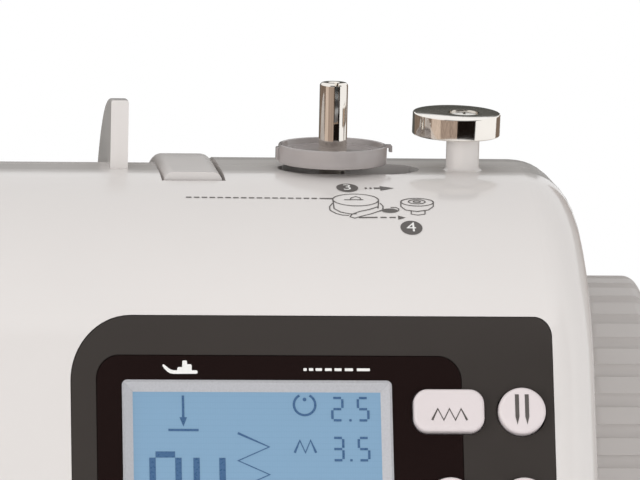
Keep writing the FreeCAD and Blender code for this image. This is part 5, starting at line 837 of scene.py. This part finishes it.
class SEWING_OT_crown_print(bpy.types.Operator):
    """Prints the bobbin-winding diagram on the arm's crown, in front of the winder"""

    bl_idname = "sewing.crown_print"
    bl_label = "Winding diagram"

    def execute(self, context):
        line = sizes("ink_line")
        bold, heavy = 0.42, 0.75
        marks = Print(on_crown(middle("winder_spindle")[0]))
        # Thread on its way to the winder
        for points in dashes((-32.81, -18.56), (-4.9, -18.73), 1.15, 1.64):
            marks.line(points, bold)
        marks.line([(-4.9, -18.73), (-2.1, -18.75)], bold)
        # Bobbin on its dish, cutter and stopper
        for oval in DIAGRAM_RINGS:
            marks.line(round_points(*oval), line, closed=True)
        for points in DIAGRAM_LINES:
            marks.line(points, line)
        for u, v in DIAGRAM_STEPS.values():
            marks.area(round_points(u, v, 2.3, 2.3))
        # Arrow beside the upper numeral
        for u in (5.3, 6.3):
            marks.line([(u - 0.22, -13.55), (u + 0.22, -13.55)], heavy)
        marks.line([(7.0, -13.5), (8.6, -13.49)], heavy)
        marks.area([(8.3, -12.3), (8.3, -14.72), (11.23, -13.43)])
        # Dark oval beside the bobbin, and the arrow under both
        marks.area(round_points(9.37, -23.6, 1.7, 0.82))
        marks.line([(2.64, -26.2), (6.6, -26.1)], bold)
        for points in dashes((7.2, -26.1), (11.2, -26.07), 1.3, 1.9):
            marks.line(points, bold)
        marks.area([(10.9, -25.4), (10.9, -26.87), (12.5, -26.12)])
        piece("winding_diagram", "root", marks.bm, "dark_ink")
        marks = Print(marks.place, 2 * marks.lift)
        for text, (u, v) in DIAGRAM_STEPS.items():
            marks.numerals(text, 3.1, u, v)
        piece("winding_numerals", "root", marks.bm, "white_ink")
        return {"FINISHED"}


class SEWING_OT_display(bpy.types.Operator):
    """Prints the signs on the display window and draws the marks that the display shows"""

    bl_idname = "sewing.display"
    bl_label = "Display marks"

    def execute(self, context):
        place = on_facia(sides("display_window", 0)[0])
        marks = Print(place)
        marks.area(FOOT_SIGN)
        for start, end in STITCH_SIGN:
            marks.area(rounded(start, end, STITCH_LEVEL - 0.29, STITCH_LEVEL + 0.29, 0.08, 2))
        piece("window_signs", "root", marks.bm, "white_ink")
        line = sizes("segment_line")
        marks = Print(place, sizes("ink_lift") - sizes("screen_sink"))
        # Needle sign with its stop level
        marks.line([(17.69, -6.65), (17.69, -12.6)], line)
        marks.area([(16.9, -11.2), (17.69, -13.2), (18.48, -11.2)])
        marks.line([(14.6, -13.9), (20.8, -13.9)], line)
        # Ring sign with its dot and zigzag sign, beside the stitch length and width
        marks.line(round_points(42.63, -8.5, 2.2, 2.2, 118, 422), line)
        marks.area(round_points(42.63, -7.4, 0.4, 0.4, steps=12))
        marks.line([(40.4, -18.6), (41.5, -16.0), (42.6, -18.6), (43.7, -16.0), (44.8, -18.6)], line)
        for text, top in (("2.5", -6.8), ("3.5", -15.2)):
            marks.segments(text, (48.05, top), (2.6, 5.2), 2.7, line)
        # Stitch number and a row of the chosen stitch
        marks.segments("04", (10.6, -18.4), (6.6, 13.6), 2.4, 1.3)
        marks.line([(32.0 + (3.2 if i % 2 else -3.2), -14.5 - 2.9 * i) for i in range(9)], line)
        # Gauge of six bars, four of them filled, and the line under everything
        for i in range(6):
            low = 39.6 + 3.2 * i
            outline = rounded(low, low + 2.2, -37.2, -31.0 + 0.9 * abs(i - 2.5), 0.2, 2)
            if i < 4:
                marks.area(outline)
            else:
                marks.line(outline, sizes("ink_line"), closed=True)
        marks.line([(9.2, -39.0), (56.8, -39.0)], 0.25)
        piece("display_segments", "root", marks.bm, "segment")
        return {"FINISHED"}


class SEWING_OT_key_marks(bpy.types.Operator):
    """Prints the signs on the panel keys and the head keys"""

    bl_idname = "sewing.key_marks"
    bl_label = "Key signs"

    def execute(self, context):
        lift = sizes("key_height") + sizes("ink_lift")
        for key, (row, ink, width, lines, areas) in KEY_SIGNS.items():
            marks = Print(on_facia(middle(key)[0], sizes(row)), lift)
            for points in lines:
                marks.line(points, width)
            for outline in areas:
                marks.area(outline)
            piece(key + "_sign", key, marks.bm, ink)
        return {"FINISHED"}


class SEWING_OT_head_marks(bpy.types.Operator):
    """Prints the speed wedge and the thread's way on the head and the crown"""

    bl_idname = "sewing.head_marks"
    bl_label = "Head marks"

    def execute(self, context):
        line = 2 * sizes("ink_line")
        marks = Print(on_facia(middle("speed_slider")[0], sizes("head_keys")))
        marks.area([(0.0, 6.6), (26.0, 6.6), (26.0, 9.6), (0.0, 7.0)])
        for u in (-1.4, 28.2, 30.2):
            marks.line([(u - 0.7, 9.3), (u + 0.7, 8.0), (u - 0.7, 6.7)], line)
        # Pointer at the tension dial
        marks.place = on_crown(0)
        dial = sides("tension_dial", 0)[0]
        level = -sizes("crown_radius") * context.scene.sewing_sizes.dial_turn
        marks.area([(dial - 3.4, level - 1.3), (dial - 1.1, level), (dial - 3.4, level + 1.3)])
        # The thread runs along the guides, then down and up beside the take-up lever
        end, start = sides("thread_guides", 0)
        row = 3.0
        for points in dashes((start - 8.6, row), (end + 9.0, row), 1.6, 2.4):
            marks.line(points, line)
        lever = middle("take_up_lever")[0]
        down, up = lever + 8.0, lever - 8.0
        for u, tip, tail in ((down, -40.0, -14.0), (up, -26.0, -46.0)):
            marks.line([(u, tip + (tail - tip) * i / 8) for i in range(9)], line)
            back = math.copysign(2.0, tail - tip)
            marks.area([(u - 1.1, tip + back), (u, tip - back / 2), (u + 1.1, tip + back)])
        steps = (start + 3.4, row), (end - 4.4, row), (down, -8.0), (up, -51.0)
        for text, (u, v) in zip("1234", steps):
            marks.numerals(text, 3.6, u, v)
        piece("head_marks", "root", marks.bm, "dark_ink")
        return {"FINISHED"}


class SEWING_OT_slider(bpy.types.Operator):
    """Builds the speed slider's knob with its grip ridges"""

    bl_idname = "sewing.slider"
    bl_label = "Speed slider"

    def execute(self, context):
        place = on_facia(middle("speed_slider")[0], sizes("head_keys"))
        bm = bmesh.new()
        slab(bm, rounded(-2.5, 2.5, -1.6, 1.6, 0.3), place, -2.8, 0.3)
        slab(bm, rounded(-4.0, 4.0, -4.5, 4.5, 1.5), place, 0.3, 2.8, 0.9, 6)
        for u in (-1.8, -0.6, 0.6, 1.8):
            slab(bm, rounded(u - 0.3, u + 0.3, -3.2, 3.2, 0.28), place, 2.6, 3.25, 0.28)
        piece("speed_knob", "speed_slider", bm, "dish_grey", ["speed_slider"])
        return {"FINISHED"}


class SEWING_OT_dial(bpy.types.Operator):
    """Prints the numerals on the tension dial, between its grooves"""

    bl_idname = "sewing.dial"
    bl_label = "Tension dial numerals"

    def execute(self, context):
        x, y, z = middle("tension_dial")
        low, high = sides("tension_dial", 2)
        marks = Print()
        for i in range(9):
            turn = context.scene.sewing_sizes.dial_turn + math.radians(30 * (i - 4) + 5)
            marks.place = on_wheel(x, y, z, (high - low) / 2, turn)
            marks.numerals(str(i), 2.6)
        piece("dial_numerals", "tension_dial", marks.bm, "dark_ink")
        return {"FINISHED"}


class SEWING_OT_plate(bpy.types.Operator):
    """Prints the needle plate's guide lines and numerals, and builds its slotted screws"""

    bl_idname = "sewing.plate"
    bl_label = "Needle plate"

    def execute(self, context):
        top = sides("needle_plate", 2)[1]
        self.marks(top)
        self.screws(top)
        return {"FINISHED"}

    def marks(self, top):
        front, back = sides("needle_plate", 1)
        margin = 0.8
        x, y, _ = middle("needle")
        marks = Print(upright(x, 0, top))
        for u in (10, 15, 20, 25, 30, 35, -15, -25, -35):
            wide = 0.3 if u % 10 else 0.2
            for low, high in ((front + margin, y - 8.0), (y + 18.0, back - margin)):
                marks.line([(u, low), (u, high)], wide)
            if u % 10 and u > 0:
                marks.numerals(str(u), 2.6, u, y - 5.6)
        marks.line([(8.0, y), (39.0, y)], 0.2)
        piece("plate_marks", "root", marks.bm, "dark_ink")

    def screws(self, top):
        left, right = sides("needle_plate_screws", 0)
        front, back = sides("needle_plate_screws", 1)
        low = sides("needle_plate_screws", 2)[0]
        r = (back - front) / 2
        y = middle("needle_plate_screws")[1]
        for name, x, turn in (("left", left + r, 24), ("right", right - r, 71)):
            bm = bmesh.new()
            lathe(bm, [
                (0.0, low), (1.5, low), (1.5, top - 3.2), (r - 0.9, top - 1.6), (r - 0.15, top - 0.75),
                (r - 0.1, top - 0.4), (r - 0.5, top - 0.12), (r * 0.5, top - 0.02), (0.0, top),
            ], upright(x, y, 0), steps=48)
            screw = piece("plate_screw_" + name, "root", bm, "steel", ["needle_plate_screws"])
            aim = Matrix.Rotation(math.radians(turn), 2)
            slit = [aim @ Vector(corner) for corner in oblong(-4, 4, -0.4, 0.4)]
            carve(screw, slit, upright(x, y, 0), top - 1.0, top + 1.0)


class SEWING_OT_feed_dog(bpy.types.Operator):
    """Builds the feed dog with its rows of teeth"""

    bl_idname = "sewing.feed_dog"
    bl_label = "Feed dog"

    def execute(self, context):
        (x0, x1), (y0, y1), (z0, z1) = (sides("feed_dog", axis) for axis in range(3))
        x, needle_y, _ = middle("needle")
        pitch = sizes("tooth_pitch")
        deep = sizes("tooth_depth")
        shelf = z1 - 6.6
        bm = bmesh.new()
        # Carrier round the needle's passage, then the leg that the drop lever works on
        ring(
            bm, rounded(x0, x1, y0, y1 - 3.0, 0.8), rounded(x - 4, x + 4, needle_y - 8, needle_y + 5, 0.8),
            upright(0, 0, 0), shelf - 3.5, shelf,
        )
        slab(bm, rounded(x - 4, x + 4, y1 - 7.0, y1, 0.6), upright(0, 0, 0), z0, shelf, 0.4)
        # Rows of teeth beside the needle and behind it, all ending at the same place
        end = needle_y + 15
        for row, front in ((x - 6, needle_y - 11), (x + 6, needle_y - 11), (x, needle_y + 6)):
            outline = [(front, shelf), (end, shelf), (end, z1 - deep)]
            for i in range(int((end - front) / pitch), 0, -1):
                outline += [(front + i * pitch - 0.15, z1), (front + (i - 1) * pitch + 0.15, z1 - deep)]
            outline.append((front, z1 - deep))
            skin(bm, [[Vector((at, y, z)) * MM for y, z in outline] for at in (row - 0.95, row + 0.95)])
        piece("feed_teeth", "feed_dog", bm, "steel", ["feed_dog"], 25.0)
        return {"FINISHED"}


class SEWING_OT_presser_foot(bpy.types.Operator):
    """Builds the presser foot with its split, upturned toes, its lugs and its pin"""

    bl_idname = "sewing.presser_foot"
    bl_label = "Presser foot"

    def execute(self, context):
        (x0, x1), (y0, y1), (z0, _) = (sides("presser_foot", axis) for axis in range(3))
        x = (x0 + x1) / 2
        needle_y = middle("needle")[1]
        half = (x1 - x0) / 2
        bm = bmesh.new()
        # Sections from the toes back: where they lie, and the far and near side of one half
        stations = [(y0, half - 1.6, 2.4), (y0 + 0.4, half - 0.7, 1.7), (y0 + 1.2, half - 0.15, 1.15)]
        stations += [(y0 + 2.0 + i, half, 1.0) for i in range(7)]
        stations += [(needle_y - 3.6, half, 1.3), (needle_y - 3.0, half, 2.6), (needle_y - 2.0, half, 3.5)]
        stations += [(needle_y, half, 4.0), (needle_y + 2.0, half, 3.5), (needle_y + 3.0, half, 2.6)]
        stations += [(needle_y + 3.7, half, 1.0), (needle_y + 4.0, half, 0.0)]
        stations += [(y1 - 1.2, half, 0.0), (y1 - 0.4, half - 0.3, 0.0), (y1, half - 1.2, 0.0)]
        for side in (-1, 1):
            loops = []
            for y, far, near in stations:
                # The toes curl up to the front, and their tips are thinner
                rise = 0.05 * max(0.0, needle_y - 5.0 - y) ** 2
                lift = max(0.0, 0.6 - (y - y0)) * 0.5
                section = rounded(near, far, z0 + rise + lift, z0 + rise + 1.9 - lift * 0.3, 0.35, 3)
                loops.append([Vector((x + side * u, y, w)) * MM for u, w in section])
            skin(bm, loops)
        pivot_y, pivot_z = y1 - 5.0, z0 + 8.0
        lug = [(-4.0, -6.6), (4.0, -6.6)] + round_points(0, 0, 4.0, 4.0, 0, 180, 16)
        for side in (-5.3, 3.3):
            slab(bm, lug, sideways(x + side, pivot_y, pivot_z), 0.0, 2.0, 0.3)
        lathe(bm, [
            (0.0, -6.0), (1.2, -6.0), (1.5, -5.7), (1.5, 5.7), (1.2, 6.0), (0.0, 6.0),
        ], sideways(x, pivot_y, pivot_z), 32)
        piece("presser_foot_toes", "presser_foot", bm, "steel", ["presser_foot"])
        return {"FINISHED"}


class SEWING_OT_needle(bpy.types.Operator):
    """Builds the needle with its shank and eye, and its clamp with a knurled thumb screw"""

    bl_idname = "sewing.needle"
    bl_label = "Needle and clamp"

    def execute(self, context):
        x, y, _ = middle("needle")
        low, high = sides("needle", 2)
        bm = bmesh.new()
        lathe(bm, [
            (0.0, low), (0.12, low + 0.2), (0.3, low + 1.6), (0.45, low + 3.4), (0.5, low + 5.0), (0.45, low + 8.0),
            (0.45, high - 7.0), (1.0, high - 4.4), (1.0, high), (0.0, high),
        ], upright(x, y, 0), 32)
        needle = piece("needle_eye", "needle_bar", bm, "chrome", ["needle"])
        carve(needle, rounded(-0.2, 0.2, -0.7, 0.7, 0.18), backwards(x, y, low + 4.9), -2.0, 2.0)
        foot, top = sides("needle_clamp", 2)
        bm = bmesh.new()
        lathe(bm, [
            (0.0, foot), (3.6, foot), (4.6, foot + 0.8), (5.0, foot + 2.0), (5.0, top - 1.2), (4.4, top - 0.3),
            (3.8, top), (0.0, top),
        ], upright(x, y, 0), 64)
        reach = sides("needle_clamp", 0)[1] - x
        side = sideways(x, y, (foot + top) / 2)
        lathe(bm, [(0.0, 4.0), (1.5, 4.0), (1.5, reach - 4.0), (0.0, reach - 4.0)], side, 32)
        knurl = []
        for i in range(48):
            r, turn = 2.0 if i % 2 else 1.75, math.pi * i / 24
            knurl.append((r * math.cos(turn), r * math.sin(turn)))
        slab(bm, knurl, side, reach - 4.4, reach, 0.4)
        piece("needle_clamp_screw", "needle_bar", bm, "chrome", ["needle_clamp"], 30.0)
        return {"FINISHED"}


class SEWING_OT_take_up(bpy.types.Operator):
    """Builds the take-up lever as a pressed blade with a slotted eye"""

    bl_idname = "sewing.take_up"
    bl_label = "Take-up lever"

    def execute(self, context):
        x = middle("take_up_lever")[0]
        (front, back), (low, high) = (sides("take_up_lever", axis) for axis in (1, 2))
        hub, eye = 5.0, 3.0
        pivot_y = back - hub
        pivot_z = low + hub
        tip = Vector((front + eye - pivot_y, high - eye - pivot_z))
        along = tip.normalized()

        def place(u, v, w):
            return Vector((x + w, pivot_y + along.x * u + along.y * v, pivot_z + along.y * u - along.x * v)) * MM

        span = tip.length
        blade = [(3.0, -3.0), (span - 9.0, -2.2), (span - 5.0, -2.4)]
        blade += round_points(span, 0, eye, eye, -80, 100, 16)
        blade += [(span - 3.2, 2.4), (span - 9.0, 2.0), (3.0, 3.0)]
        bm = bmesh.new()
        slab(bm, blade, place, -0.9, 0.9, 0.3)
        made = piece("take_up_blade", "take_up_lever", bm, "chrome", ["take_up_lever"])
        slot = ribbon([(span + 0.6, -0.8), (span - 4.2, -4.4)], 0.8)
        for outline in (round_points(span, 0, 1.2, 1.2, steps=24), slot):
            carve(made, outline, place, -3.0, 3.0)
        bm = bmesh.new()
        lathe(bm, [
            (3.1, -2.0), (hub - 0.3, -2.0), (hub, -1.7), (hub, 1.7), (hub - 0.3, 2.0), (3.1, 2.0),
        ], sideways(x, pivot_y, pivot_z), 48)
        piece("take_up_hub", "take_up_lever", bm, "steel")
        return {"FINISHED"}


class SEWING_OT_bobbin(bpy.types.Operator):
    """Winds thread on the bobbin under the clear cover"""

    bl_idname = "sewing.bobbin"
    bl_label = "Bobbin thread"

    def execute(self, context):
        x, y, _ = middle("bobbin")
        flange = 1.25
        low, high = sides("bobbin", 2)
        low, high = low + flange, high - flange
        turns = int((high - low) / sizes("thread_pitch"))
        pitch = (high - low) / turns
        profile = [(4.6, low)]
        for i in range(turns):
            swell = 8.6 + 0.35 * math.sin(math.pi * (i + 0.5) / turns)
            profile += [(swell - 0.12, low + (i + 0.05) * pitch), (swell + 0.06, low + (i + 0.5) * pitch)]
        profile += [(8.5, high), (4.6, high)]
        bm = bmesh.new()
        lathe(bm, profile, upright(x, y, 0), 64)
        piece("bobbin_thread", "bobbin", bm, "thread", smooth=60.0)
        return {"FINISHED"}


class SEWING_OT_guides(bpy.types.Operator):
    """Bends the two thread guides on top of the arm from strip"""

    bl_idname = "sewing.guides"
    bl_label = "Thread guides"

    def execute(self, context):
        (left, right), (front, back), (low, high) = (sides("thread_guides", axis) for axis in range(3))
        thick = 1.1
        half = thick / 2
        rise = high - low
        path = [(7.9, half)] + round_points(1.6 + half, 1.6 + half, 1.6, 1.6, 270, 180, 6)
        path += round_points(1.4 + half, rise - 1.4 - half, 1.4, 1.4, 180, 90, 6) + [(5.0, rise - half)]
        path += [(5.7, rise - half - 0.15), (6.1, rise - half - 0.6)]
        for name, x in (("left", left), ("right", right - 8.0)):

            def place(u, v, w):
                return Vector((x + u, back - w, low + v)) * MM

            bm = bmesh.new()
            slab(bm, ribbon(path, thick), place, 0.0, back - front, 0.3)
            piece("thread_guide_" + name, "root", bm, "chrome", ["thread_guides"])
        return {"FINISHED"}


class SEWING_OT_switch_marks(bpy.types.Operator):
    """Prints the on and off marks on the power switch"""

    bl_idname = "sewing.switch_marks"
    bl_label = "Switch marks"

    def execute(self, context):
        marks = Print(self.on_rocker(*SWITCH_ON))
        marks.line([(0.0, -1.8), (0.0, 1.8)], 0.7)
        marks.place = self.on_rocker(*SWITCH_OFF)
        marks.line(round_points(0, 0, 1.6, 1.6), 0.7, closed=True)
        piece("switch_marks", "power_switch", marks.bm, "white_ink")
        return {"FINISHED"}

    def on_rocker(self, x, z, lean):
        """Places drawings on the switch's rocker: u along Y, v up its face, w outwards."""
        y = middle("power_switch")[1]
        tip = math.radians(lean)
        return lambda u, v, w: Vector((
            x + v * math.sin(tip) + w * math.cos(tip), y + u, z + v * math.cos(tip) - w * math.sin(tip),
        )) * MM


class SEWING_OT_stage(bpy.types.Operator):
    """Sets the floor, the white background, soft studio lamps and the camera"""

    bl_idname = "sewing.stage"
    bl_label = "Stage"

    def execute(self, context):
        settings = context.scene.sewing_stage
        self.background(context.scene)
        self.floor()
        for name, (watts, place, side) in LAMPS.items():
            self.lamp(name, getattr(settings, watts), place, side)
        for name, row in CARDS.items():
            self.card(name, *row)
        self.camera(context.scene, settings)
        return {"FINISHED"}

    def unlit(self, tree):
        """One where a ray comes from the camera, a reflection or through glass."""
        path = add(tree, "ShaderNodeLightPath")
        seen = path.outputs["Is Camera Ray"]
        for other in ("Is Glossy Ray", "Is Transmission Ray"):
            seen = add(tree, "ShaderNodeMath", {0: seen, 1: path.outputs[other]}, operation="MAXIMUM").outputs[0]
        return seen

    def background(self, scene):
        world = bpy.data.worlds.new("Studio")
        scene.world = world
        world.use_nodes = True
        tree = world.node_tree
        tree.nodes.clear()
        even = add(tree, "ShaderNodeBackground", {"Color": WHITE, "Strength": scene.sewing_stage.ambient})
        white = add(tree, "ShaderNodeBackground", {"Color": WHITE, "Strength": 1.0})
        both = add(tree, "ShaderNodeMixShader", {
            0: self.unlit(tree), 1: even.outputs["Background"], 2: white.outputs["Background"],
        })
        add(tree, "ShaderNodeOutputWorld", {"Surface": both.outputs["Shader"]})
        scene.view_settings.view_transform = "Standard"

    def floor(self):
        material, tree = blank("Paper, matt")
        place = add(tree, "ShaderNodeTexCoord").outputs["Object"]
        fibre = add(tree, "ShaderNodeTexNoise", {"Vector": place, "Scale": 1 / (3 * MM), "Detail": 4.0})
        relief = add(tree, "ShaderNodeBump", {"Height": fibre.outputs["Fac"], "Distance": 0.02 * MM})
        paper = add(tree, "ShaderNodeBsdfPrincipled", {
            "Base Color": tint("floor"), "Roughness": 0.9, "Normal": relief.outputs["Normal"],
        })
        glow = add(tree, "ShaderNodeEmission", {"Color": WHITE, "Strength": 1.0})
        # Round the machine the paper shows its light and shadow; further out it fades to plain white
        away = add(tree, "ShaderNodeVectorMath", {0: place}, operation="LENGTH").outputs["Value"]
        fade = add(tree, "ShaderNodeMapRange", {
            "Value": away, "From Min": 0.35, "From Max": 1.4, "To Min": 0.6, "To Max": 1.0,
        }, interpolation_type="SMOOTHSTEP")
        share = add(tree, "ShaderNodeMath", {0: self.unlit(tree), 1: fade.outputs["Result"]}, operation="MULTIPLY")
        both = add(tree, "ShaderNodeMixShader", {
            0: share.outputs[0], 1: paper.outputs["BSDF"], 2: glow.outputs["Emission"],
        })
        add(tree, "ShaderNodeOutputMaterial", {"Surface": both.outputs["Shader"]})
        bm = bmesh.new()
        bmesh.ops.create_circle(bm, cap_ends=True, radius=FLOOR_RADIUS, segments=96)
        floor = shape("floor", bm, material)

    def lamp(self, name, watts, place, side):
        light = bpy.data.lights.new(name, "AREA")
        light.energy = watts
        light.shape = "SQUARE"
        light.size = side
        lamp = bpy.data.objects.new(name, light)
        lamp.location = place
        lamp.visible_glossy = False
        lamp.rotation_euler = (LAMP_AIM - lamp.location).to_track_quat("-Z", "Y").to_euler()
        bpy.context.scene.collection.objects.link(lamp)

    def card(self, name, hue, start, end, low, high):
        """A curved studio card that only reflections see, as they stand round polished metal."""
        around = round_points(*CARD_AXIS, CARD_RADIUS, CARD_RADIUS, start - 90, end - 90, 24)
        bm = bmesh.new()
        skin(bm, [[Vector((x, y, z)) for x, y in around] for z in (low, high)], closed=False, caps=False)
        paper = "Card, " + hue.split("_")[0]
        card = shape(name, bm, bpy.data.materials.get(paper) or self.glowing(paper, hue))
        card.visible_camera = False
        card.visible_diffuse = False
        card.visible_shadow = False

    def glowing(self, name, hue):
        """Card that gives its colour to reflections, a little clouded."""
        material, tree = blank(name)
        fibre = add(tree, "ShaderNodeTexNoise", {"Scale": 1 / (120 * MM)})
        shade = add(tree, "ShaderNodeMapRange", {"Value": fibre.outputs["Fac"], "To Min": 0.5, "To Max": 1.5})
        cloud = add(tree, "ShaderNodeHueSaturation", {"Value": shade.outputs["Result"], "Color": tint(hue)})
        glow = add(tree, "ShaderNodeEmission", {"Color": cloud.outputs["Color"], "Strength": 1.0})
        add(tree, "ShaderNodeOutputMaterial", {"Surface": glow.outputs["Emission"]})
        return material

    def camera(self, scene, settings):
        data = bpy.data.cameras.new("photo_camera")
        data.lens = settings.lens
        data.sensor_width = 36.0
        data.clip_end = 100.0
        camera = bpy.data.objects.new("photo_camera", data)
        out = Vector((
            math.sin(settings.azimuth) * math.cos(settings.elevation),
            -math.cos(settings.azimuth) * math.cos(settings.elevation), math.sin(settings.elevation),
        ))
        turn = (-out).to_track_quat("-Z", "Y").to_matrix().to_4x4() @ Matrix.Rotation(settings.roll, 4, "Z")
        camera.matrix_world = Matrix.Translation(Vector(settings.aim) + out * settings.distance) @ turn
        scene.collection.objects.link(camera)
        scene.camera = camera


class SEWING_PT_pieces(bpy.types.Panel):
    """Lists the pieces in the order they are made"""

    bl_label = "Sewing machine"
    bl_idname = "SEWING_PT_pieces"
    bl_space_type = "VIEW_3D"
    bl_region_type = "UI"
    bl_category = "Sewing machine"

    def draw(self, context):
        for maker in OPERATORS:
            self.layout.operator(maker.bl_idname)
        for group, settings in GROUPS.items():
            box = self.layout.box()
            for name in settings.__annotations__:
                box.prop(getattr(context.scene, group), name)


OPERATORS = (
    SEWING_OT_finishes, SEWING_OT_winder, SEWING_OT_stopper, SEWING_OT_crown_print, SEWING_OT_display,
    SEWING_OT_key_marks, SEWING_OT_head_marks, SEWING_OT_slider, SEWING_OT_dial, SEWING_OT_plate, SEWING_OT_feed_dog,
    SEWING_OT_presser_foot, SEWING_OT_needle, SEWING_OT_take_up, SEWING_OT_bobbin, SEWING_OT_guides,
    SEWING_OT_switch_marks, SEWING_OT_stage,
)
GROUPS = {"sewing_sizes": SewingSizes, "sewing_colours": SewingColours, "sewing_stage": SewingStage}
CLASSES = (*GROUPS.values(), *OPERATORS, SEWING_PT_pieces)


def register():
    for each in CLASSES:
        bpy.utils.register_class(each)
    for name, settings in GROUPS.items():
        setattr(bpy.types.Scene, name, bpy.props.PointerProperty(type=settings))


def unregister():
    for name in GROUPS:
        delattr(bpy.types.Scene, name)
    for each in reversed(CLASSES):
        bpy.utils.unregister_class(each)


def main():
    """Makes every piece in order."""
    register()
    for maker in OPERATORS:
        group, name = maker.bl_idname.split(".")
        getattr(getattr(bpy.ops, group), name)()


if __name__ == "__main__":
    main()
